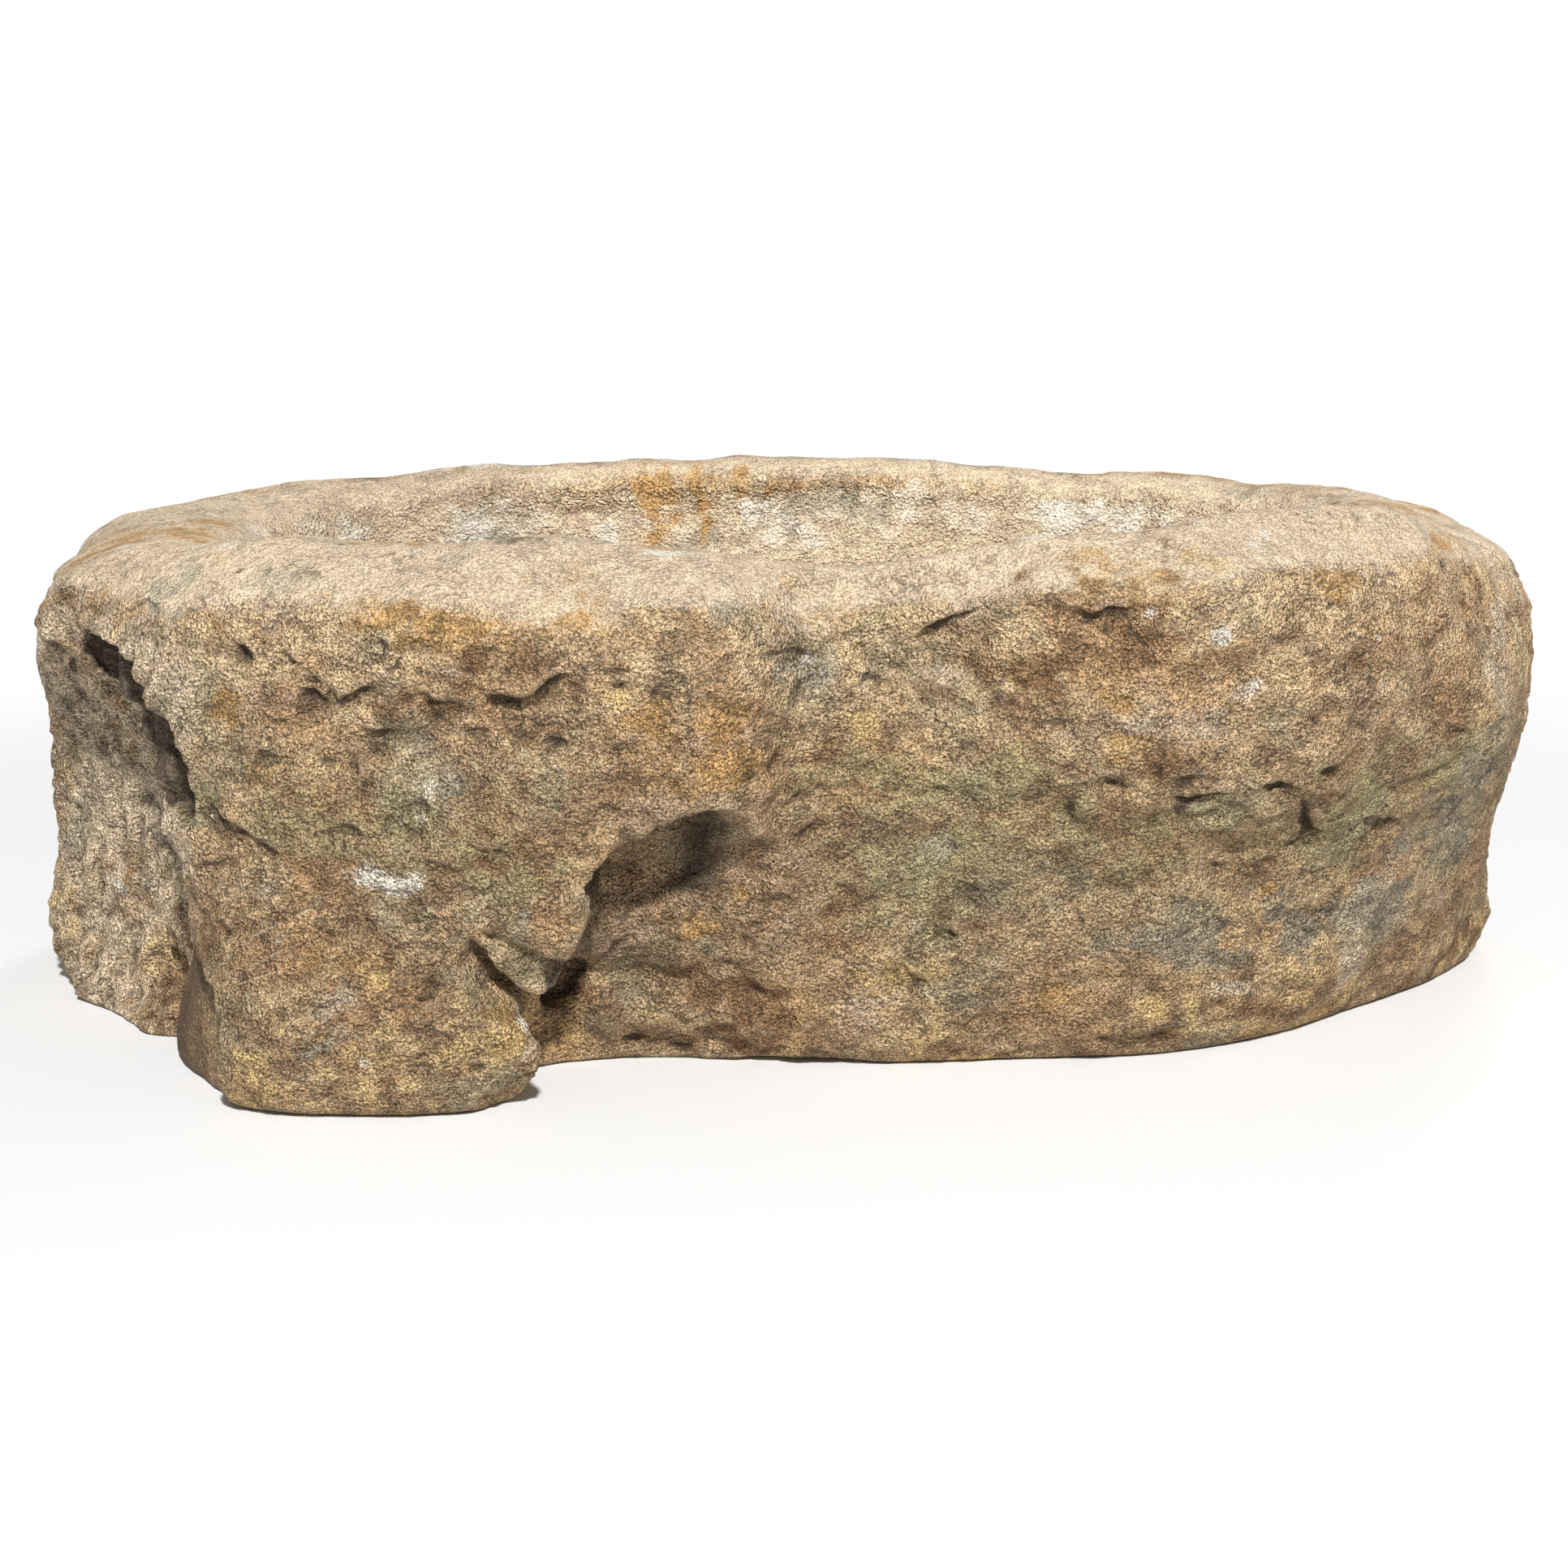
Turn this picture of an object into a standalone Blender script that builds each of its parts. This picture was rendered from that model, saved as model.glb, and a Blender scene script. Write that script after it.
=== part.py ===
"""Rough-hewn stone trough planter, modelled as the single block of stone that it is.

The block is a loft: plan outlines at the base, the foot, the belly and the rim are joined by smooth
curves up the outside, over the rounded rim and down into the basin.  Hewing marks and the ledges where
layers have come off the front are worked into its surface.  The places where more of the stone has
broken away (the scooped left corner, the overhung hollow in the front and the pocket beside it) are
cut from the loft with ellipsoids, which leaves the crisp edges that a spall leaves.

Metres, +Z up, +Y towards the back.  The origin lies on the flat that the stone rests on, at the middle
of its nominal length and depth.
"""

import math

import bmesh
import bpy
from mathutils import Euler, Matrix, Vector, noise

MM = 0.001

# Overall size of the block at its belly, and the nominal height of the rim
LENGTH = 1290 * MM
DEPTH = 680 * MM
RIM_HEIGHT = 425 * MM

# Basin: the stone left round its mouth and under its floor, and how far its middle lies towards the back
END_WALL = 203 * MM
SIDE_WALL = 144 * MM
BASIN_SETBACK = 12 * MM
FLOOR_THICKNESS = 130 * MM
BASIN_HALF_LENGTH = LENGTH / 2 - END_WALL
BASIN_HALF_WIDTH = DEPTH / 2 - SIDE_WALL

# Heights and steps of the outside, from the ground up
FOOT_RISE = 26 * MM
UNDERCUT = 18 * MM
WAIST_HEIGHT = 130 * MM
WAIST_RECESS = 10 * MM
BELLY_HEIGHT = 265 * MM
SHOULDER_INSET = 20 * MM
SHOULDER_DROP = 52 * MM
BROW_INSET = 58 * MM
BROW_DROP = 16 * MM

# Steps of the inside, from the rim down to the floor of the basin
LIP_DROP = 26 * MM
WALL_BATTER = 24 * MM
TOE_RISE = 22 * MM
TOE_INSET = 62 * MM
FLOOR_INSET = 92 * MM

# How far the tooling and the weathering leave the surface from its smooth form
OUTSIDE_ROUGHNESS = 9 * MM
INSIDE_ROUGHNESS = 4 * MM
ROUGHNESS_WAVE = 105 * MM
FACE_FADE = 12 * MM
FINE_WAVE_OFFSET = Vector((7, 3, 5))

# Ledges across the front, where a layer of the stone has come off below a line
LEDGE_STEP = 15 * MM
LEDGE_DROP = 24 * MM
LEDGE_RUNOUT = 115 * MM
LEDGE_TAPER = 60 * MM

# Spalls: each is an ellipsoid that is cut away.  Its centre is given in shares of half the length, of
# half the depth and of the rim's height, so that it stays in its place when the block changes size.
HOLLOW_CENTRE_SHARES = (-0.084, -0.935, -0.016)
HOLLOW_RADII = Vector((156, 81, 229)) * MM
HOLLOW_TURN = (0, -2, -17)
POCKET_CENTRE_SHARES = (-0.302, -1.000, 0.235)
POCKET_RADII = Vector((52, 52, 27)) * MM
POCKET_TURN = (0, 42, 0)
CORNER_CENTRE_SHARES = (-0.933, -0.441, 0.353)
CORNER_RADII = Vector((215, 105, 165)) * MM
CORNER_TURN = (0, 20, -55)
HEEL_CENTRE_SHARES = (-0.783, -0.800, 0.071)
HEEL_RADII = Vector((110, 78, 105)) * MM
HEEL_TURN = (0, 30, -55)
SPALL_ROUGHNESS = 6 * MM

# Stations round the plan, counter-clockwise from the right end.  Each row gives shares of half the
# length and of half the depth for the belly and for the foot, then the rim's share of its height.
STATION_SHARES = (
    (0.995, 0.09, 0.985, 0.20, 0.955),
    (0.97, 0.44, 0.950, 0.46, 0.955),
    (0.86, 0.74, 0.840, 0.73, 0.950),
    (0.65, 0.92, 0.640, 0.90, 0.965),
    (0.34, 0.99, 0.340, 0.97, 0.975),
    (0.00, 1.00, 0.000, 0.98, 1.000),
    (-0.34, 0.98, -0.340, 0.97, 0.985),
    (-0.65, 0.91, -0.640, 0.90, 0.970),
    (-0.86, 0.73, -0.850, 0.72, 0.955),
    (-0.97, 0.40, -0.970, 0.42, 0.945),
    (-0.985, 0.05, -1.000, 0.09, 0.935),
    (-0.94, -0.33, -0.940, -0.28, 0.930),
    (-0.80, -0.66, -0.800, -0.66, 0.945),
    (-0.65, -0.86, -0.640, -1.00, 0.960),
    (-0.45, -0.96, -0.460, -1.07, 0.970),
    (-0.24, -1.00, -0.290, -1.02, 0.962),
    (-0.06, -0.97, -0.130, -0.93, 0.955),
    (0.03, -0.85, 0.010, -0.78, 0.922),
    (0.13, -0.83, 0.120, -0.75, 0.935),
    (0.28, -0.86, 0.290, -0.72, 0.968),
    (0.49, -0.84, 0.480, -0.68, 0.995),
    (0.68, -0.70, 0.650, -0.52, 1.000),
    (0.84, -0.48, 0.790, -0.30, 0.990),
    (0.95, -0.21, 0.910, -0.08, 0.965),
)

# Ledges: each row gives the line's left and right end as shares of half the length, its height there as
# shares of the rim's height, and its share of the full step.
LEDGE_SHARES = (
    (-0.58, -0.10, 0.71, 0.79, 0.90),
    (0.05, 0.62, 0.86, 0.78, 1.00),
    (0.26, 0.74, 0.55, 0.42, 0.80),
)

# Shares of the way from the belly in to the lip for the crest, and from the foot out for the waist
CREST_SHARE = 0.68
WAIST_SHARE = 0.45

# The most of its wall that the rounding of the rim may take up, at the shoulder and at the brow
SHOULDER_LIMIT_SHARE = 0.18
BROW_LIMIT_SHARE = 0.46

# Power of the rounded rectangle that the basin is in plan: 2 is an ellipse, and more is squarer
BASIN_SQUARENESS = 3.2

# Facets between neighbouring stations, and between neighbouring levels from the ground up
STATION_STEPS = 5
LEVEL_STEPS = (2, 4, 6, 5, 3, 3, 3, 2, 4, 3, 1)

CUTTER_SEGMENTS = 40
CUTTER_RINGS = 24
SHARP_EDGE_DEGREES = 45

STONE_COLOUR = (0.37, 0.28, 0.17, 1.0)
STONE_ROUGHNESS = 0.92


def clear_scene():
    """Removes what the file holds, and starts the two collections."""
    for item in list(bpy.data.objects):
        bpy.data.objects.remove(item, do_unlink=True)
    collections = {}
    for name in ("stone_trough_planter", "cutters"):
        collection = bpy.data.collections.new(name)
        bpy.context.scene.collection.children.link(collection)
        collections[name] = collection
    return collections["stone_trough_planter"], collections["cutters"]


def stone_material():
    """Weathered sandstone: buff, fully matt."""
    material = bpy.data.materials.new("sandstone")
    material.use_nodes = True
    shader = material.node_tree.nodes["Principled BSDF"]
    shader.inputs["Base Color"].default_value = STONE_COLOUR
    shader.inputs["Roughness"].default_value = STONE_ROUGHNESS
    shader.inputs["Metallic"].default_value = 0.0
    return material


def smooth_between(before, start, end, after, share):
    """A point on the smooth curve from start to end that also heeds their outer neighbours."""
    start_slope = (end - before) / 2
    end_slope = (after - start) / 2
    square = share * share
    cube = square * share
    return (
        start * (2 * cube - 3 * square + 1)
        + start_slope * (cube - 2 * square + share)
        + end * (3 * square - 2 * cube)
        + end_slope * (cube - square)
    )


def closed_outline(points):
    """A smooth closed outline through the stations, STATION_STEPS facets to each."""
    count = len(points)
    outline = []
    for index in range(count):
        around = [points[(index + offset) % count] for offset in (-1, 0, 1, 2)]
        for step in range(STATION_STEPS):
            outline.append(smooth_between(*around, step / STATION_STEPS))
    return outline


def belly_point(row):
    return Vector((row[0] * LENGTH / 2, row[1] * DEPTH / 2, 0))


def foot_point(row):
    return Vector((row[2] * LENGTH / 2, row[3] * DEPTH / 2, 0))


def basin_point(row):
    """The point of the basin's mouth that faces a station: a rounded rectangle in plan."""
    angle = math.atan2(row[1], row[0])
    power = 2 / BASIN_SQUARENESS
    along, across = [
        math.copysign(abs(part) ** power, part) for part in (math.cos(angle), math.sin(angle))
    ]
    return Vector((along * BASIN_HALF_LENGTH, across * BASIN_HALF_WIDTH + BASIN_SETBACK, 0))


def inward(point, half_spine):
    """The direction in plan from a point towards a line along the middle of the trough."""
    nearest = Vector((max(-half_spine, min(half_spine, point.x)), BASIN_SETBACK, 0))
    return (nearest - Vector((point.x, point.y, 0))).normalized()


def inset(point, distance):
    """A point of the outside, moved in."""
    return point + inward(point, (LENGTH - DEPTH) / 2) * distance


def basin_inset(lip, distance):
    """A point of the basin's mouth, moved in."""
    return lip + inward(lip, BASIN_HALF_LENGTH - BASIN_HALF_WIDTH) * distance


def at_height(point, height):
    return Vector((point.x, point.y, height))


def station_profile(row):
    """The key points of one station: up the outside, over the rim and down to the basin's floor."""
    belly = belly_point(row)
    foot = foot_point(row)
    lip = basin_point(row)
    wall = (lip - belly).length
    crest_height = row[4] * RIM_HEIGHT
    waist = inset(foot.lerp(belly, WAIST_SHARE), WAIST_RECESS)
    shoulder = inset(belly, min(SHOULDER_INSET, wall * SHOULDER_LIMIT_SHARE))
    brow = inset(belly, min(BROW_INSET, wall * BROW_LIMIT_SHARE))
    wall_middle = (crest_height - LIP_DROP + FLOOR_THICKNESS) / 2
    return (
        at_height(inset(foot, UNDERCUT), 0.0),
        at_height(foot, FOOT_RISE),
        at_height(waist, WAIST_HEIGHT),
        at_height(belly, BELLY_HEIGHT),
        at_height(shoulder, crest_height - SHOULDER_DROP),
        at_height(brow, crest_height - BROW_DROP),
        at_height(belly.lerp(lip, CREST_SHARE), crest_height),
        at_height(lip, crest_height - LIP_DROP),
        at_height(basin_inset(lip, WALL_BATTER / 2), wall_middle),
        at_height(basin_inset(lip, WALL_BATTER), FLOOR_THICKNESS + TOE_INSET),
        at_height(basin_inset(lip, TOE_INSET), FLOOR_THICKNESS + TOE_RISE),
        at_height(basin_inset(lip, FLOOR_INSET), FLOOR_THICKNESS),
    )


def block_rings():
    """Every ring of the loft, from the edge of the base to the edge of the basin's floor."""
    profiles = [station_profile(row) for row in STATION_SHARES]
    levels = [closed_outline(list(level)) for level in zip(*profiles)]
    rings = []
    for index, steps in enumerate(LEVEL_STEPS):
        around = [levels[max(0, min(len(levels) - 1, index + offset))] for offset in (-1, 0, 1, 2)]
        for step in range(steps):
            rings.append([smooth_between(*points, step / steps) for points in zip(*around)])
    rings.append(levels[-1])
    return rings


def loft(rings):
    """A closed mesh through the rings, with a flat face on the first and on the last."""
    mesh = bmesh.new()
    loops = [[mesh.verts.new(point) for point in ring] for ring in rings]
    for lower, upper in zip(loops, loops[1:]):
        for index in range(len(lower)):
            after = (index + 1) % len(lower)
            mesh.faces.new((lower[index], lower[after], upper[after], upper[index]))
    mesh.faces.new(reversed(loops[0]))
    mesh.faces.new(loops[-1])
    mesh.normal_update()
    return mesh


def fade(value, width):
    """Nought at or below nought, one from width upwards, and smooth between."""
    share = max(0.0, min(1.0, value / width))
    return share * share * (3 - 2 * share)


def unevenness(point):
    """A smooth random height between about -1 and 1, the same for the same place."""
    place = point / ROUGHNESS_WAVE
    return noise.noise(place) + noise.noise(place * 2 + FINE_WAVE_OFFSET) / 2


def ledge_setback(point):
    """How far the ledges set the front face back at a point: most just below each line."""
    setback = 0.0
    for left_share, right_share, left_height_share, right_height_share, step_share in LEDGE_SHARES:
        left, right = left_share * LENGTH / 2, right_share * LENGTH / 2
        along = (point.x - left) / (right - left)
        line = (left_height_share + (right_height_share - left_height_share) * along) * RIM_HEIGHT
        below = line - point.z
        ends = fade(point.x - left, LEDGE_TAPER) * fade(right - point.x, LEDGE_TAPER)
        face = fade(below, LEDGE_DROP) * (1 - fade(below - LEDGE_DROP, LEDGE_RUNOUT))
        setback += LEDGE_STEP * step_share * ends * face
    return setback


def rough_offset(point, normal):
    """How far the hewn surface stands from the smooth loft, along its normal."""
    inside = fade(normal.dot(inward(point, (LENGTH - DEPTH) / 2)), 1.0)
    depth = OUTSIDE_ROUGHNESS * (1 - inside) + INSIDE_ROUGHNESS * inside
    keep_base_flat = fade(point.z, FACE_FADE)
    front = fade(-normal.y, 1.0) * (1 - inside)
    return (depth * unevenness(point) - ledge_setback(point) * front) * keep_base_flat


def hew(mesh, floor_face_size):
    """Roughens the block everywhere but on its base and on the flat of the basin's floor."""
    flat = {vertex for face in mesh.faces if len(face.verts) == floor_face_size for vertex in face.verts}
    moves = {
        vertex: vertex.normal * rough_offset(vertex.co, vertex.normal)
        for vertex in mesh.verts
        if vertex not in flat
    }
    for vertex, move in moves.items():
        vertex.co += move


def ellipsoid_cutter(name, centre_shares, radii, turn, collection):
    """A hidden ellipsoid, a little uneven, that shapes one spall."""
    centre = Vector(centre_shares) * Vector((LENGTH / 2, DEPTH / 2, RIM_HEIGHT))
    mesh = bmesh.new()
    bmesh.ops.create_uvsphere(mesh, u_segments=CUTTER_SEGMENTS, v_segments=CUTTER_RINGS, radius=1.0)
    turned = Euler([math.radians(angle) for angle in turn]).to_matrix().to_4x4()
    mesh.transform(Matrix.Translation(centre) @ turned @ Matrix.Diagonal((*radii, 1.0)))
    mesh.normal_update()
    moves = {vertex: vertex.normal * SPALL_ROUGHNESS * unevenness(vertex.co) for vertex in mesh.verts}
    for vertex, move in moves.items():
        vertex.co += move
    data = bpy.data.meshes.new(name)
    mesh.to_mesh(data)
    mesh.free()
    cutter = bpy.data.objects.new(name, data)
    cutter.hide_render = True
    cutter.display_type = "WIRE"
    collection.objects.link(cutter)


def cut(target, cutters):
    """Takes the shapes of all the cutters out of the stone at once."""
    modifier = target.modifiers.new("spalls", "BOOLEAN")
    modifier.operation = "DIFFERENCE"
    modifier.solver = "EXACT"
    modifier.operand_type = "COLLECTION"
    modifier.collection = cutters


def build():
    parts, cutters = clear_scene()
    rings = block_rings()
    mesh = loft(rings)
    hew(mesh, len(rings[0]))
    data = bpy.data.meshes.new("stone_trough")
    mesh.to_mesh(data)
    mesh.free()
    stone = bpy.data.objects.new("stone_trough", data)
    stone.data.materials.append(stone_material())
    parts.objects.link(stone)
    spalls = (
        ("front_hollow", HOLLOW_CENTRE_SHARES, HOLLOW_RADII, HOLLOW_TURN),
        ("lip_pocket", POCKET_CENTRE_SHARES, POCKET_RADII, POCKET_TURN),
        ("left_corner_spall", CORNER_CENTRE_SHARES, CORNER_RADII, CORNER_TURN),
        ("left_heel_spall", HEEL_CENTRE_SHARES, HEEL_RADII, HEEL_TURN),
    )
    for name, centre_shares, radii, turn in spalls:
        ellipsoid_cutter(name, centre_shares, radii, turn, cutters)
    cut(stone, cutters)
    stone.data.shade_smooth()
    stone.data.set_sharp_from_angle(angle=math.radians(SHARP_EDGE_DEGREES))


build()
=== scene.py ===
"""Looks of the stone trough planter: one block of weathered, hewn sandstone.

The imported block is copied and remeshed, and then worked over the way splitting, tools and weather would:
ledges, cracks, flutes, pits and small flakes.  Every point of the stone gets its share of each stain, and
the material mixes these and breaks them up with noise of its own.
"""

import math
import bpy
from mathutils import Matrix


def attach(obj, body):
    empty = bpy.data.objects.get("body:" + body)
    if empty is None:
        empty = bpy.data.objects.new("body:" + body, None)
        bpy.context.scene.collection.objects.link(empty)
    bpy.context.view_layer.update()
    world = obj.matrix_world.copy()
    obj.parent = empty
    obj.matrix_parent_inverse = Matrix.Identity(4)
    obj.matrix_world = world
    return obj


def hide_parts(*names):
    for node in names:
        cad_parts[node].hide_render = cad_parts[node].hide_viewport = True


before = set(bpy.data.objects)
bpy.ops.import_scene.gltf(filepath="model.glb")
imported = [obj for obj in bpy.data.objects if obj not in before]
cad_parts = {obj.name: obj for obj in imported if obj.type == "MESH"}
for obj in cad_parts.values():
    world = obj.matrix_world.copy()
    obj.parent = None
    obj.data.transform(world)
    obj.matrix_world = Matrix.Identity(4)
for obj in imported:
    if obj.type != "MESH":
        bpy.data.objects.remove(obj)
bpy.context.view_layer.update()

from types import SimpleNamespace

import bpy
import numpy as np
from mathutils import Vector, kdtree

MM = 0.001

# How wide the voxels of the rough and the fine pass are, and how many triangles the stone may have
ROUGH_VOXEL = 5 * MM
FINE_VOXEL = 3.4 * MM
FACE_BUDGET = 188000

# Seeded tables for the noise.  Their size is a power of two, so a mask keeps any number inside them.
TABLE_SIZE = 4096
MASK = TABLE_SIZE - 1
RANDOM = np.random.default_rng(20)
HASHES = RANDOM.permutation(TABLE_SIZE)
SLOPES = RANDOM.normal(size=(TABLE_SIZE, 3))
SLOPES /= np.linalg.norm(SLOPES, axis=1)[:, None]
# Each seed looks at another part of the noise, and all of them at one far from its origin.
SEED_SHIFT = 37.7
FAR_SHIFT = 500.5
# Brings the sum of the slopes up to about -1 to 1
NOISE_GAIN = 1.7


def smooth(value, width=1):
    """Eases from 0 at 0 to 1 at the width."""
    value = np.clip(value / width, 0, 1)
    return value * value * (3 - 2 * value)


def bell(value):
    """1 at 0, and less to both sides."""
    return np.exp(-(value**2))


def lattice(points, wavelength, seed, stretch):
    """Where points in metres lie among unit cells as wide as the wavelength in millimetres."""
    place = points / (np.array(stretch) * wavelength * MM) + SEED_SHIFT * seed + FAR_SHIFT
    return place, np.floor(place).astype(np.int64)


def neighbours(cell, steps):
    """The cells round each point's own, with a random vector for each."""
    for dx in steps:
        hash_x = HASHES[(cell[:, 0] + dx) & MASK]
        for dy in steps:
            hash_y = HASHES[(hash_x + cell[:, 1] + dy) & MASK]
            for dz in steps:
                yield (dx, dy, dz), SLOPES[HASHES[(hash_y + cell[:, 2] + dz) & MASK]]


def noise(points, wavelength, seed=0, stretch=(1, 1, 1)):
    """Gradient noise of about -1 to 1."""
    place, cell = lattice(points, wavelength, seed, stretch)
    part = place - cell
    ease = part**3 * (part * (part * 6 - 15) + 10)
    weights = 1 - ease, ease
    total = np.zeros(len(points))
    for (dx, dy, dz), slope in neighbours(cell, (0, 1)):
        share = weights[dx][:, 0] * weights[dy][:, 1] * weights[dz][:, 2]
        total += share * ((part - (dx, dy, dz)) * slope).sum(1)
    return total * NOISE_GAIN


def fractal(points, wavelength, octaves, seed=0, stretch=(1, 1, 1), gain=0.5):
    """Noise with finer noise on top, each octave half as wide and weaker by the gain."""
    total, weight, weights = 0.0, 1.0, 0.0
    for octave in range(octaves):
        total = total + weight * noise(points, wavelength / 2**octave, seed + 5 * octave, stretch)
        weights += weight
        weight *= gain
    return total / weights**0.5


def scoops(points, pitch, seed, stretch=(1, 1, 1)):
    """Shallow bowls side by side with crisp ridges between them, from 0 on the ridges to 1."""
    place, cell = lattice(points, pitch, seed, stretch)
    nearest = np.full(len(points), np.inf)
    for step, slope in neighbours(cell, (-1, 0, 1)):
        middle = cell + step + 0.5 + 0.42 * slope
        nearest = np.minimum(nearest, ((place - middle) ** 2).sum(1))
    return 1 - np.clip(nearest, 0, 1)


def sway(points, waves):
    """A smooth random shift of each point in millimetres, as the sum of waves: (wavelength, reach, seed)."""
    return np.stack(
        [sum(noise(points, size, seed + axis) * reach for size, reach, seed in waves) for axis in range(3)], 1
    )


def ellipsoid(points, middle, radii):
    """The square of each point's distance from the middle, counted in the ellipsoid's radii (millimetres)."""
    offset = (points - np.array(middle) * MM) / (np.array(radii) * MM)
    return (offset**2).sum(1)


def add_object(name, data):
    added = bpy.data.objects.new(name, data)
    bpy.context.scene.collection.objects.link(added)
    return added


def remesh(stone, voxel):
    """Replaces the mesh with an even one whose faces are about a voxel wide."""
    modifier = stone.modifiers.new("voxels", "REMESH")
    modifier.mode = "VOXEL"
    modifier.voxel_size = voxel
    bake(stone)


def bake(stone):
    """Applies the modifiers."""
    depsgraph = bpy.context.evaluated_depsgraph_get()
    old = stone.data
    new = bpy.data.meshes.new_from_object(stone.evaluated_get(depsgraph))
    stone.modifiers.clear()
    stone.data = new
    bpy.data.meshes.remove(old)


def read(items, name, width, kind):
    """A property of each of a mesh's items, one row for each item."""
    flat = np.empty(len(items) * width, kind)
    items.foreach_get(name, flat)
    return flat.reshape(-1, width)


def points_of(stone):
    return read(stone.data.vertices, "co", 3, np.float32).astype(float)


def normals_of(stone):
    return read(stone.data.vertex_normals, "vector", 3, np.float32).astype(float)


def edges_of(stone):
    return read(stone.data.edges, "vertices", 2, np.int32)


def set_points(stone, points):
    points[:, 2] = np.maximum(points[:, 2], 0.0)
    stone.data.vertices.foreach_set("co", points.astype(np.float32).ravel())
    stone.data.update()


def spread(values, edges, times, step=0.5):
    """Blurs a value, or a vector, along the mesh's edges."""
    one = values.ndim == 1
    values = values[:, None] if one else values
    count = len(values)
    degree = np.bincount(edges.ravel(), minlength=count)[:, None]
    for _ in range(times):
        total = np.empty_like(values)
        for axis in range(values.shape[1]):
            column = values[:, axis]
            total[:, axis] = np.bincount(edges[:, 0], column[edges[:, 1]], count)
            total[:, axis] += np.bincount(edges[:, 1], column[edges[:, 0]], count)
        values = values + step * (total / degree - values)
    return values[:, 0] if one else values


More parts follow.
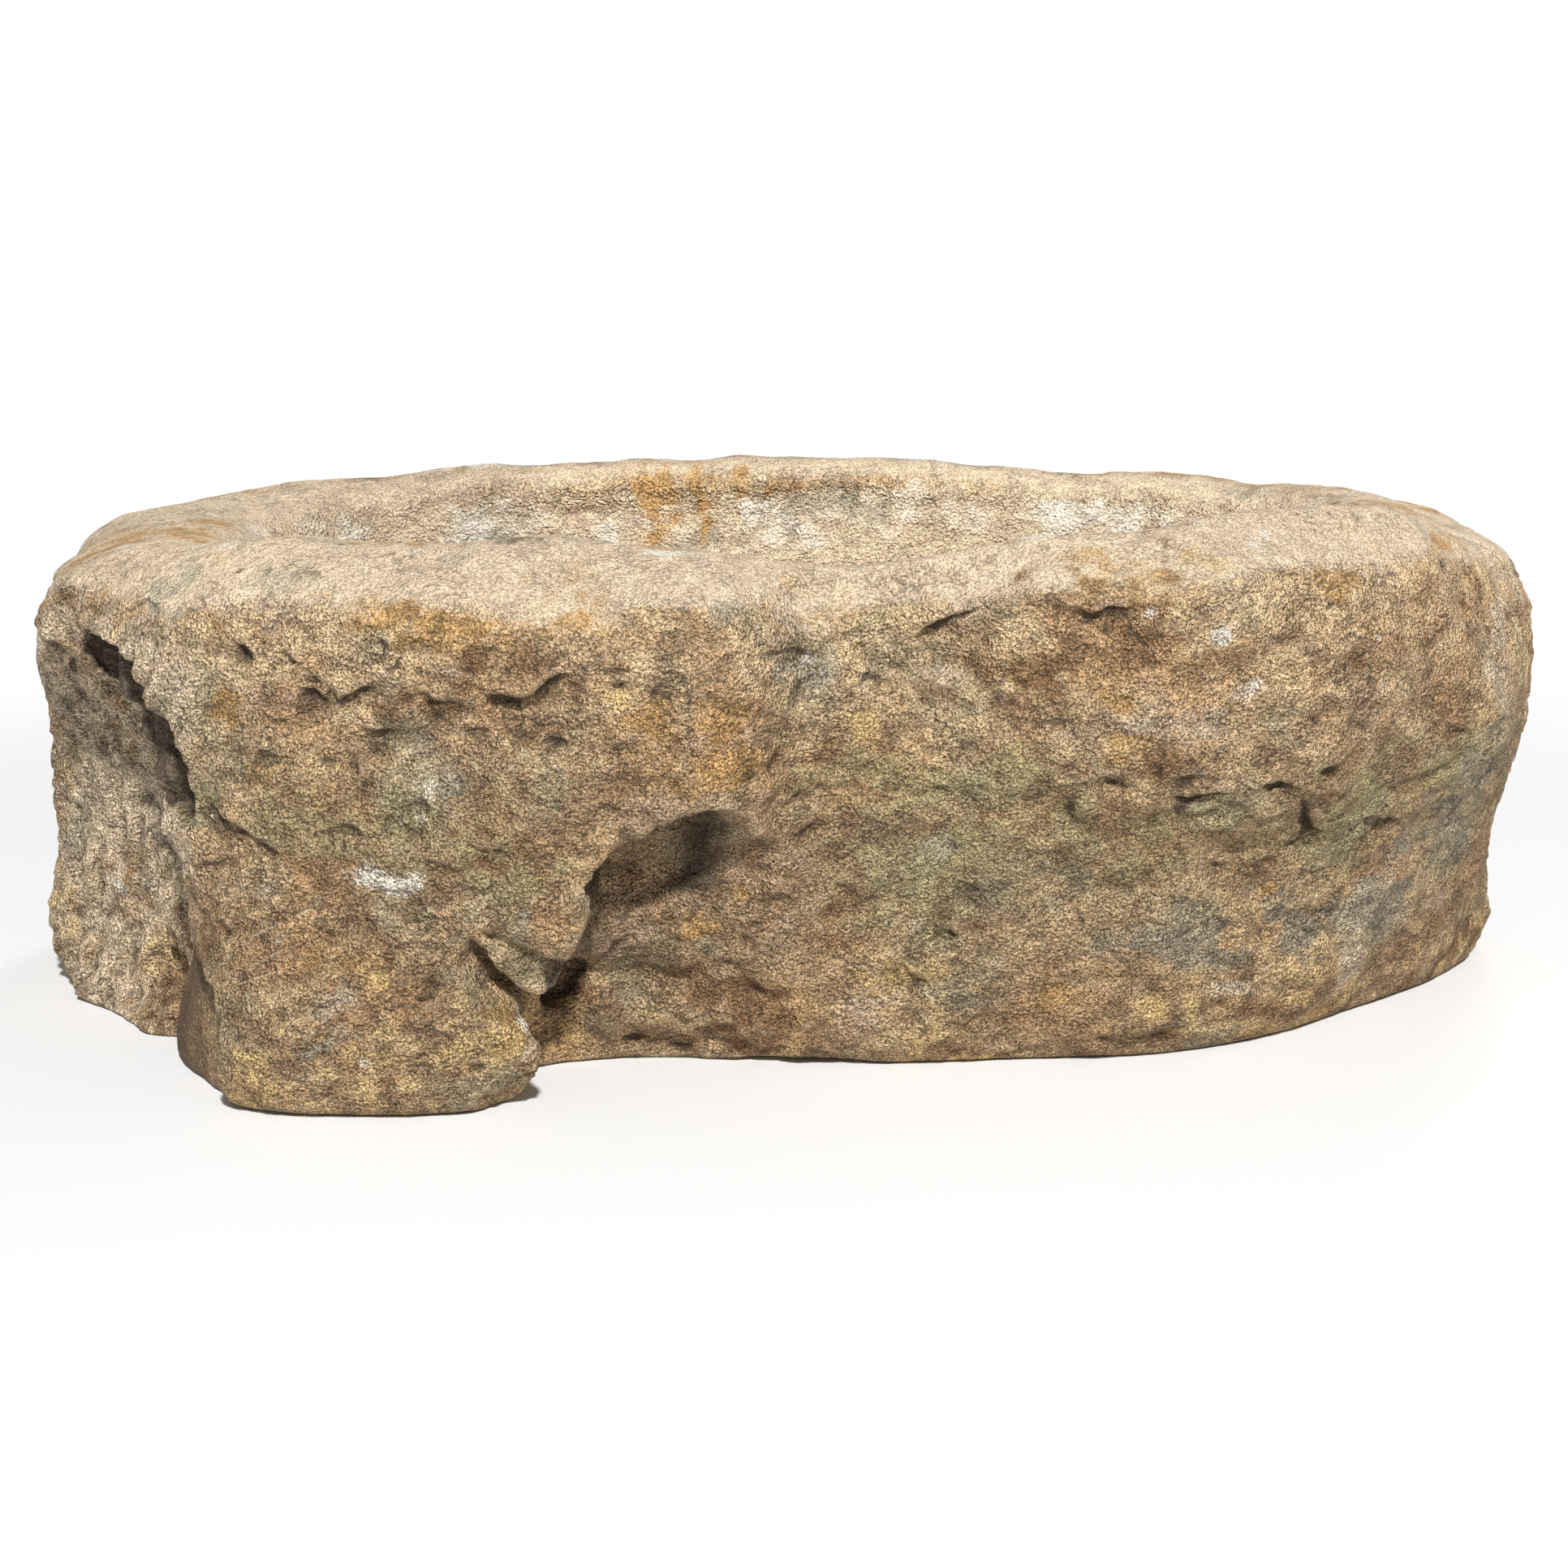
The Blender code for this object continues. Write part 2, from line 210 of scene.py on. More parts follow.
# Lines worked into the stone.  Points are in millimetres.  A ledge sets the stone back on the right hand of
# its line, seen from outside: (depth, width of its edge, runout, height of the lip above, points).
LEDGES = (
    (11, 5, 56, 2.5, ((-337, -308, 326), (-330, -311, 316), (-323, -314, 307), (-315, -316, 309), (-303, -317, 314),
     (-292, -318, 321), (-285, -318, 325))),
    (11, 5, 56, 2.5, ((-270, -321, 316), (-256, -322, 310), (-243, -322, 305), (-229, -321, 299), (-218, -324, 305))),
    (12, 5, 60, 3, ((-220, -325, 315), (-205, -325, 309), (-191, -325, 307), (-180, -326, 312), (-170, -328, 320),
     (-159, -330, 326), (-142, -329, 331))),
    (9, 5, 22, 2, ((-137, -328, 335), (-127, -328, 334), (-114, -328, 331), (-106, -327, 325))),
    (6, 4, 16, 1, ((-130, -329, 324), (-119, -326, 319), (-109, -326, 320))),
    (4, 4, 20, 1, ((-368, -297, 340), (-360, -301, 335), (-353, -304, 330))),
    (5, 4, 22, 1, ((-347, -306, 327), (-340, -308, 320), (-331, -311, 313))),
    (5, 4, 26, 1, ((-317, -311, 291), (-308, -310, 284), (-295, -312, 282), (-279, -313, 284))),
    (4, 4, 16, 1, ((-297, -307, 351), (-288, -310, 349), (-281, -313, 343), (-278, -316, 338))),
    (5, 4, 20, 1, ((-178, -326, 278), (-169, -324, 283), (-159, -325, 278), (-154, -325, 270))),
    (4, 4, 24, 1, ((-237, -317, 282), (-219, -320, 285), (-201, -324, 283))),
    (4, 4, 18, 1, ((-403, -280, 349), (-395, -287, 338), (-384, -294, 331))),
    (9, 6, 60, 2, ((86, -249, 336), (99, -250, 344), (110, -253, 350), (125, -258, 356), (139, -262, 363),
     (154, -263, 369))),
    (7, 6, 50, 2, ((156, -264, 367), (176, -268, 371), (197, -275, 369), (221, -278, 364), (247, -278, 367),
     (271, -276, 369))),
    (5, 7, 36, 1, ((-30, -310, 346), (-15, -301, 341), (-4, -292, 339), (11, -277, 340), (26, -269, 335),
     (44, -262, 334))),
    (4, 5, 24, 1, ((50, -268, 318), (68, -262, 316), (87, -258, 311))),
    (5, 4, 20, 1, ((278, -283, 246), (290, -280, 241), (302, -279, 242), (318, -276, 239))),
    (4, 4, 20, 1, ((445, -200, 184), (460, -190, 185), (480, -173, 179), (502, -154, 174))),
    (4, 4, 16, 1, ((318, -244, 167), (339, -231, 158), (353, -225, 155))),
    (3, 4, 18, 1, ((231, -253, 145), (249, -252, 147), (268, -250, 148), (287, -248, 149))),
    (10, 5, 46, 2, ((72, -258, 95), (83, -257, 94), (91, -256, 83), (102, -255, 75), (115, -255, 72),
     (126, -255, 76))),
    (6, 4, 22, 1, ((114, -256, 122), (127, -255, 114), (139, -255, 109))),
    (5, 4, 26, 1, ((2, -289, 192), (11, -283, 197), (24, -277, 202), (36, -274, 205))),
    (4, 4, 20, 1, ((131, -262, 160), (144, -260, 148), (153, -261, 145), (165, -262, 146))),
    (8, 5, 34, 2, ((-270, -320, 252), (-264, -323, 241), (-255, -327, 227), (-246, -330, 213))),
    (6, 5, 20, 1, ((-448, -278, 140), (-433, -288, 143), (-425, -295, 138))),
    (9, 6, 34, 2, ((-243, -345, 94), (-254, -346, 91), (-266, -346, 93), (-276, -344, 100))),
    (6, 4, 40, 1.5, ((-246, -329, 211), (-230, -330, 207), (-215, -331, 201), (-199, -332, 199), (-184, -333, 189))),
    (4, 4, 24, 1, ((-134, -330, 239), (-125, -330, 229), (-111, -330, 221))),
    (7, 4, 34, 2, ((221, -289, 248), (234, -288, 242), (250, -286, 236), (267, -284, 229), (283, -281, 228))),
    (8, 4, 30, 2, ((282, -281, 224), (290, -280, 225), (300, -278, 221), (313, -276, 224), (330, -272, 226),
     (347, -268, 227))),
    (7, 4, 26, 2, ((350, -267, 229), (371, -261, 230), (384, -256, 226), (390, -253, 220))),
    (7, 4, 26, 1.5, ((387, -254, 221), (395, -249, 214), (399, -237, 195), (407, -221, 183), (425, -209, 178))),
    (4, 4, 22, 1, ((211, -285, 231), (214, -279, 215), (218, -271, 202), (237, -265, 193))),
    (4, 4, 20, 1, ((448, -197, 182), (455, -193, 185), (472, -180, 182), (489, -166, 177))),
    (4, 3, 14, 1, ((293, -278, 218), (299, -270, 206), (312, -268, 204), (322, -266, 204))),
    (3, 3, 12, 1, ((321, -242, 166), (333, -234, 161), (348, -229, 161))),
    (5, 4, 16, 1, ((281, -281, 255), (279, -282, 244), (286, -281, 237))),
    (3, 3, 14, 1, ((381, -222, 174), (392, -218, 173), (403, -218, 178))),
    (6, 4, 30, 1.5, ((-405, -278, 353), (-400, -283, 345), (-392, -289, 338), (-379, -295, 333))),
    (6, 4, 24, 1.5, ((-370, -295, 344), (-363, -299, 340), (-354, -303, 332), (-348, -306, 324))),
    (6, 4, 30, 1.5, ((-358, -304, 316), (-354, -306, 315), (-339, -311, 307), (-327, -313, 299))),
    (5, 4, 20, 1, ((-284, -318, 325), (-277, -317, 337), (-269, -316, 343))),
    (5, 4, 24, 1, ((-319, -311, 292), (-308, -310, 286), (-295, -312, 281), (-280, -314, 280), (-251, -315, 288))),
    (9, 4, 40, 2, ((-437, -290, 222), (-420, -296, 218), (-399, -303, 204), (-380, -310, 197), (-364, -315, 188),
     (-355, -317, 184))),
    (5, 4, 22, 1, ((-394, -300, 263), (-374, -307, 267), (-351, -312, 263))),
    (5, 4, 18, 1, ((-335, -312, 269), (-331, -313, 265), (-320, -313, 266))),
)
# The main forms are ledges too, but all of their points move the same way: (depth, width of the edge, runout,
# points).  Those deeper than the limit also get painted shade below their break.
DEEP_FORM = 30
FORMS = (
    (34, 9, 95, ((-584, -132, 334), (-553, -165, 334), (-525, -197, 328), (-502, -230, 317), (-484, -252, 300),
     (-468, -264, 284), (-454, -273, 268), (-446, -280, 250), (-444, -283, 230), (-448, -283, 206),
     (-456, -278, 184))),
    (20, 9, 62, ((-526, -97, 72), (-508, -126, 61), (-484, -176, 57), (-467, -199, 44), (-454, -211, 28),
     (-448, -225, 6))),
    (7, 18, 60, ((-5, -296, 197), (-5, -300, 245), (-6, -308, 283), (-12, -309, 313), (-21, -304, 347))),
    (8, 12, 70, ((86, -249, 330), (116, -255, 350), (157, -267, 362), (197, -274, 366), (244, -277, 366),
     (290, -276, 366))),
)
# The point of stone that hangs over the hollow's left end, seen from the front: (x, z) round its edge
TIP = (
    (-214, 140), (-206, 130), (-193, 125), (-172, 114), (-159, 106), (-151, 118), (-143, 136), (-136, 160),
    (-150, 175), (-200, 175),
)
TIP_FACE = -331
# The shallow face below the point of stone, and how far back it lies at its left and right ends
RECESS = (
    (-228, 146), (-216, 133), (-204, 127), (-190, 122), (-179, 118), (-171, 111), (-171, 78), (-184, 78), (-195, 86),
    (-205, 97), (-215, 110), (-228, 130),
)
RECESS_FACES = (-331, -316)
# Where the stone is fuller or leaner than the block: (way, middle, radii)
FULLER = (
    ((-14, -10, 0), (-610, -60, 150), (120, 150, 170)),
    ((-44, -4, 0), (-452, -250, 12), (78, 90, 90)),
    ((-22, 20, 0), (-186, -352, -6), (46, 60, 42)),
)
# Where the block's own crisp edge is worn away: (middle, radii), and how many times it is blurred there
WORN_BLUR = 90
WORN = (
    ((-500, -235, 250), (90, 90, 130)),
    ((-470, -262, 150), (60, 70, 90)),
)
# A crack is a groove: (depth, half width, points).
CRACKS = (
    (7, 4, ((355, -267, 341), (370, -263, 339), (380, -259, 340))),
    (6, 4, ((383, -258, 333), (392, -256, 330), (401, -252, 328))),
    (6, 4, ((282, -281, 223), (290, -280, 223), (300, -278, 220), (313, -276, 222), (330, -272, 224))),
    (5, 3, ((350, -267, 228), (371, -261, 228), (384, -256, 224))),
    (6, 4, ((387, -254, 220), (395, -249, 213), (399, -237, 195), (407, -221, 182), (425, -209, 177))),
    (5, 3, ((234, -288, 241), (250, -286, 234), (267, -284, 228))),
    (5, 4, ((-354, -306, 315), (-339, -311, 306), (-327, -313, 298))),
    (4, 4, ((-400, -283, 344), (-392, -289, 337))),
    (4, 4, ((290, -272, 208), (306, -269, 204), (321, -267, 207), (336, -266, 211))),
    (5, 4, ((211, -285, 232), (215, -275, 207), (231, -266, 196))),
    (4, 4, ((218, -254, 141), (229, -249, 117), (245, -248, 100), (265, -246, 83))),
    (6, 5, ((2, -289, 191), (11, -283, 196), (24, -277, 201), (36, -274, 204))),
    (22, 8, ((-166, -246, 96), (-170, -246, 82), (-175, -246, 66), (-180, -250, 46))),
    (10, 5, ((-153, -243, 92), (-160, -243, 78), (-172, -245, 60), (-178, -247, 47))),
    (7, 7, ((236, -243, 28), (246, -238, 20), (263, -235, 16), (289, -230, 15), (315, -223, 17))),
    (6, 5, ((128, -280, 261), (137, -282, 265), (144, -283, 261))),
    (4, 4, ((-222, 199, 376), (-207, 200, 378), (-185, 201, 378), (-166, 201, 376))),
)
# Pale scratches
SCRATCHES = (
    ((-411, -301, 158), (-390, -310, 171)),
    ((-396, -317, 128), (-348, -319, 149)),
    ((-386, -323, 121), (-360, -322, 134)),
    ((-360, -319, 145), (-336, -321, 158)),
    ((-394, -325, 108), (-363, -326, 124)),
    ((-403, -326, 94), (-369, -331, 108)),
    ((60, -258, 88), (77, -257, 71)),
    ((83, -257, 64), (115, -256, 39)),
    ((71, -258, 60), (101, -256, 54)),
)
# A pit: (depth, radius along, radius up, point).
PITS = (
    (9, 9, 7, (-145, -248, 112)),
    (6, 9, 5, (-222, -355, 39)),
    (7, 12, 7, (414, -247, 238)),
    (5, 6, 6, (-405, -241, 390)),
    (4, 9, 7, (-520, -134, 381)),
    (3, 8, 6, (-494, -182, 375)),
    (3, 5, 5, (477, -158, 405)),
    (6, 12, 6, (-118, -228, 18)),
    (6, 14, 6, (-80, -228, 11)),
    (5, 10, 6, (-19, -248, 68)),
    (4, 8, 5, (588, -93, 329)),
)
# How far from a crisp edge and from a scratch, in millimetres, the material still knows of it
BRINK = 12
SCRATCH_REACH = 6


class Line:
    """Where points lie by a line on the stone: how far along it and to its right, and if they face as it does."""

    def __init__(self, points, normals, line, reach):
        line = np.array(line, float) * MM
        low, high = line.min(0) - reach, line.max(0) + reach
        self.near = np.flatnonzero(((points > low) & (points < high)).all(1))
        spot, normal = points[self.near], normals[self.near]
        count = len(self.near)
        best = np.full(count, np.inf)
        self.along, self.aside, self.facing = np.zeros(count), np.zeros(count), np.zeros(count)
        outward = normals[[np.argmin(((points - middle) ** 2).sum(1)) for middle in line]].mean(0)
        outward /= np.linalg.norm(outward)
        self.outward = outward
        start = 0.0
        for index, (first, last) in enumerate(zip(line, line[1:])):
            way = last - first
            length = np.linalg.norm(way)
            way = way / length
            right = np.cross(way, outward)
            share = (spot - first) @ way
            held = np.clip(share, 0, length)
            distance = np.linalg.norm(spot - first - held[:, None] * way, axis=1)
            closer = distance < best
            free_start = -np.inf if index == 0 else 0
            free_end = np.inf if index == len(line) - 2 else length
            best = np.where(closer, distance, best)
            self.along = np.where(closer, start + np.clip(share, free_start, free_end), self.along)
            self.aside = np.where(closer, (spot - first - held[:, None] * way) @ right, self.aside)
            start += length
        self.length = start
        self.facing = smooth(normal @ outward - 0.1, 0.4)

    def ends(self, taper, most=2.2):
        """Fades both ends out over the taper in millimetres, or over a share of a short line, and what faces away."""
        taper = min(taper * MM, self.length / most)
        return smooth(self.along, taper) * smooth(self.length - self.along, taper) * self.facing


def step_down(aside, edge, runout):
    """A ledge across its line: a step over the width of its edge, which runs out below."""
    return smooth(aside / edge + 0.5) * (1 - smooth(aside - edge, runout))


def inside_outline(x, z, outline):
    """How far inside a closed outline each point lies, seen from the front; less than 0 outside it."""
    inside, reach = np.zeros(len(x), bool), np.full(len(x), np.inf)
    for (x0, z0), (x1, z1) in zip(outline, outline[1:] + outline[:1]):
        crosses = (z0 > z) != (z1 > z)
        inside ^= crosses & (x < x0 + (z - z0) * (x1 - x0) / (z1 - z0 or 1))
        share = np.clip(((x - x0) * (x1 - x0) + (z - z0) * (z1 - z0)) / ((x1 - x0) ** 2 + (z1 - z0) ** 2), 0, 1)
        reach = np.minimum(reach, np.hypot(x - x0 - share * (x1 - x0), z - z0 - share * (z1 - z0)))
    return np.where(inside, reach, -reach)


def shape_hollow(points, edges):
    """The hollow: its floor comes forward towards the ground, its right side runs out, and a tip hangs over it."""
    x, y, z = points.T / MM
    wide = smooth(x + 172, 24) * smooth(30 - x, 60)
    facing = smooth(-195 - y, 20) * smooth(-y - 150, 40)
    band = bell((z - 40) / 19) * (17 + 5 * noise(points, 60, 11))
    floor = bell((z - 112) / 40) * 18
    deeper = bell((z - 166) / 18) * 9 * smooth(-60 - x, 40)
    low = smooth(-205 - y, 10) * smooth(y + 300, 20)
    points[:, 1] -= (band + floor - deeper) * wide * low * facing * MM
    worn = smooth(1.25 - np.sqrt(((x - 14) / 62) ** 2 + ((z - 60) / 150) ** 2)) * smooth(-180 - y, 20)
    for middle, radii in WORN:
        worn = np.maximum(worn, smooth(1.6 * (1 - np.sqrt(ellipsoid(points, middle, radii)))))
    points += worn[:, None] * (spread(points, edges, WORN_BLUR) - points)
    left_face, right_face = RECESS_FACES
    recess_face = left_face + (right_face - left_face) * smooth(points[:, 0] / MM + 228, 57)
    for outline, face in ((RECESS, recess_face), (TIP, TIP_FACE)):
        x, y, z = points.T / MM
        near = smooth(inside_outline(x, z, outline) + 3, 6) * (y < -200) * (y > face)
        points[:, 1] += near * (face - y) * MM
    return points


def work_forms(points, normals, warp):
    """The main ledges, and the left end's fuller side and foot, with painted shade below the deep ledges."""
    moved, painted_shade = points.copy(), np.zeros(len(points))
    for depth, edge, runout, line in FORMS:
        beside = Line(points + warp * 1.3, normals, line, (runout + 12) * MM)
        ends = beside.ends(40)
        aside = beside.aside / MM
        step = step_down(aside, edge, runout)
        moved[beside.near] -= (depth * step * ends * MM)[:, None] * beside.outward
        if depth > DEEP_FORM:
            # Painted shade on the steep face below the break
            shade = smooth(aside - 2, 8) * (1 - smooth(aside - 40, 46)) * ends
            painted_shade[beside.near] = np.maximum(painted_shade[beside.near], shade)
    for way, middle, radii in FULLER:
        moved += smooth(1 - np.sqrt(ellipsoid(points, middle, radii)))[:, None] * np.array(way) * MM
    return moved, painted_shade


def work_lines(points, normals, warp, share, crisp, dirt_and_shade, brink=None):
    """How far the ledges, cracks and pits set each point back; their dark parts go into the given array: dirt
    together with painted shadow under the edges and painted shade in the grooves and pits.

    Each pass takes its share of their depth, with edges as wide as it can hold (1 is their full width).  The
    brink takes how far below the nearest ledge's edge each point lies, and how strong that ledge is.
    """
    setback = np.zeros(len(points))
    warped = points + warp
    for depth, edge, runout, lip, line in LEDGES:
        edge *= crisp
        beside = Line(warped, normals, line, (runout + 12) * MM)
        ends = beside.ends(26)
        ends *= 0.75 + 0.5 * noise(points[beside.near], 24, 66)
        aside = beside.aside / MM
        step = step_down(aside, edge, runout)
        raised = bell(np.minimum(aside + edge / 2, 0) / 9) * (aside < -edge / 2)
        setback[beside.near] += (depth * step * share - lip * raised * share) * ends * MM
        # Painted shadow under the ledge's edge, with some dirt
        shade = bell((aside - edge * 0.6) / (edge * 0.9)) * ends * min(0.5, depth / 18)
        shade = np.maximum(shade, bell((aside - 6) / 8) * ends * min(0.6, depth / 18))
        dirt_and_shade[beside.near] = np.maximum(dirt_and_shade[beside.near], shade)
        if brink is not None:
            force = np.clip(ends, 0, 1) * min(1, 0.5 + depth / 14)
            note_brink(brink, beside.near, np.clip(aside, -BRINK, BRINK), force)
    for depth, width, line in CRACKS:
        beside = Line(warped, normals, line, 4 * width * MM)
        ends = beside.ends(16, 2.5)
        groove = bell(beside.aside / MM / width) * ends
        setback[beside.near] += depth * groove * share * MM
        # The groove's dark: painted shade with some dirt
        dirt_and_shade[beside.near] = np.maximum(dirt_and_shade[beside.near], min(1, 0.35 + depth / 20) * groove)
    for depth, wide, high, middle in PITS:
        bowl = np.maximum(0, 1 - ellipsoid(warped, middle, (wide, wide, high)))
        setback += depth * np.sqrt(bowl) * share * MM
        # The pit's dark: painted shade with some dirt
        dirt_and_shade[:] = np.maximum(dirt_and_shade, smooth(bowl * 1.6) * min(1, depth / 8))
    return setback


def note_brink(brink, chosen, aside, force):
    """Keeps a crisp edge for the material where it is nearer or stronger than the one already there."""
    force = force * (1 - smooth(np.abs(aside) - BRINK + 4, 3))
    old = brink["force"][chosen] * (1.2 - np.abs(brink["aside"][chosen]) / BRINK)
    better = force * (1.2 - np.abs(aside) / BRINK) > old
    brink["aside"][chosen[better]] = aside[better]
    brink["force"][chosen[better]] = force[better]


def tree_of(points):
    """The points, ready to be searched by place."""
    tree = kdtree.KDTree(len(points))
    for index, point in enumerate(points):
        tree.insert(point, index)
    tree.balance()
    return tree


# How deep a flake may go
DEEPEST_CHIP = 4.5 * MM


def chips(points, normals, weights, count, sizes, seed, brink):
    """Small flakes that have come off: each has a sharp curved edge above and runs out below."""
    random = np.random.default_rng(seed)
    setback, dirt_and_shade = np.zeros(len(points)), np.zeros(len(points))
    tree = tree_of(points)
    chosen = random.choice(len(points), count, False, weights / weights.sum())
    for index in chosen:
        centre, normal = points[index], normals[index]
        along = np.cross((0, 0, 1), normal)
        if np.linalg.norm(along) < 0.3:
            along = np.cross((0, 1, 0), normal)
        along /= np.linalg.norm(along)
        turn = random.normal() * 0.35
        down = np.cross(along, normal)
        cos, sin = math.cos(turn), math.sin(turn)
        along, down = along * cos + down * sin, down * cos - along * sin
        half = random.uniform(*sizes) * MM
        drop = half * random.uniform(0.5, 1.0)
        depth = min(half * random.uniform(0.09, 0.18), DEEPEST_CHIP)
        bend = random.uniform(-0.5, 0.9)
        found = np.array([item[1] for item in tree.find_range(Vector(centre), half * 1.6)])
        offset = points[found] - centre
        side = offset @ along / half + 0.15 * np.sin(offset @ down / half * 5 + index)
        fall = offset @ down / drop + bend * side**2 + 0.12 * np.sin(side * 7 + index) + 0.3
        same_side = normals[found] @ normal > 0.3
        inside = (np.abs(side) < 1) & same_side
        shape = smooth(fall, 0.22) * (1 - np.clip(fall, 0, 1)) ** 0.8 * (1 - side**2) * inside
        setback[found] = np.maximum(setback[found], depth * shape)
        # Painted shadow under the flake's edge, with some dirt
        shade = bell((fall - 0.1) / 0.12) * (1 - side**2) * inside * min(1, depth / MM / 2.5)
        dirt_and_shade[found] = np.maximum(dirt_and_shade[found], shade)
        reach = np.clip(fall * drop / MM, -BRINK, BRINK)
        force = np.clip(1 - side**2, 0, 1) * same_side * min(0.5, 0.12 + depth / MM / 12)
        note_brink(brink, found, reach, force)
    return setback, dirt_and_shade


def flakes(points, pitch, seed):
    """Overlapping thin layers, from 0 to 1: each stands proud at its lower edge."""
    level = -points[:, 2] / (pitch * MM)
    level = level + 1.3 * noise(points, 3.2 * pitch, seed, (1.5, 1.5, 1))
    level = level + 0.45 * noise(points, 1.1 * pitch, seed + 1)
    part = level - np.floor(level)
    return part * (1 - smooth(part - 0.82, 0.18))


# The basin's half length, half width and middle line, and the middle and radii of the hollow, in metres
BASIN_LENGTH, BASIN_WIDTH, BASIN_LINE = 0.47, 0.225, 0.012
HOLLOW_MIDDLE = (-0.054, -0.318, -0.007)
HOLLOW_RADII = (0.168, 0.092, 0.24)


def regions(points, normals):
    """Soft masks of the stone's parts."""
    x, y, z = points.T
    top = smooth(normals[:, 2] - 0.35, 0.4) * smooth(z - 0.28, 0.05)
    basin = smooth(1.06 - (np.abs(x / BASIN_LENGTH) ** 3 + np.abs((y - BASIN_LINE) / BASIN_WIDTH) ** 3), 0.2)
    inside = basin * smooth(0.405 - z, 0.03)
    facing_left = smooth(-normals[:, 0] * 0.85 - normals[:, 1] * 0.5 - 0.25, 0.4)
    facet = facing_left * smooth(-0.40 - x, 0.08) * smooth(0.36 - z, 0.04) * smooth(0.05 - y, 0.1)
    heel = facet * smooth(0.16 - z, 0.06) * smooth(-0.16 - y, 0.06)
    spot = (points - HOLLOW_MIDDLE) / HOLLOW_RADII
    hollow = smooth(1.12 - (spot**2).sum(1), 0.2) * smooth(y + 0.325, 0.03)
    front = smooth(-normals[:, 1], 0.5) * (1 - inside)
    return SimpleNamespace(top=top, inside=inside, facet=facet, heel=heel, hollow=hollow, front=front)


def warping(points):
    """How far a line on the stone strays from its drawn course at each point."""
    return sway(points, ((26, 3.2, 60), (11, 2.0, 70), (5.5, 0.9, 75))) * MM


# The left end of the block, in metres, which takes its painted shade from the rough pass
LEFT_END = -0.40
# The two sizes of chips: (how many, least and greatest half width in millimetres, seed)
BIG_CHIPS = (380, (13, 34), 5)
SMALL_CHIPS = (1300, (6, 13), 6)


def work_roughly(stone):
    """The forms and lumps that show from a step away.  Gives each point's share of painted shade that it makes."""
    remesh(stone, ROUGH_VOXEL)
    edges = edges_of(stone)
    set_points(stone, shape_hollow(spread(points_of(stone), edges, 4), edges))
    points, normals = points_of(stone), normals_of(stone)
    warp = warping(points)
    part = regions(points, normals)
    base = smooth(points[:, 2], 0.02)
    rough = 1 - 0.45 * part.top - 0.35 * part.inside - 0.6 * part.heel
    lumps = fractal(points, 120, 3, 1) * 4.2 + noise(points, 42, 9) * 1.6
    lumps = lumps + scoops(points + warp, 52, 12, (1.35, 1.35, 0.9)) * -5 + 2.3
    flutes = np.abs(fractal(points, 34, 2, 21, (1, 1, 5))) * 15 - 4
    lumps = lumps * rough + flutes * part.facet * (1 - part.heel)
    lumps = lumps + part.hollow * (fractal(points, 38, 2, 31) * 4.5)
    setback = work_lines(points, normals, warp, share=0.4, crisp=1, dirt_and_shade=np.zeros(len(points)))
    ragged = sway(points, ((30, 4.5, 130), (13, 2.5, 134)))
    move = (lumps * MM - setback) * base
    points, painted_shade = work_forms(points, normals, warp)
    set_points(stone, points + normals * move[:, None] + ragged * (part.hollow * base)[:, None] * MM)
    return points_of(stone), painted_shade


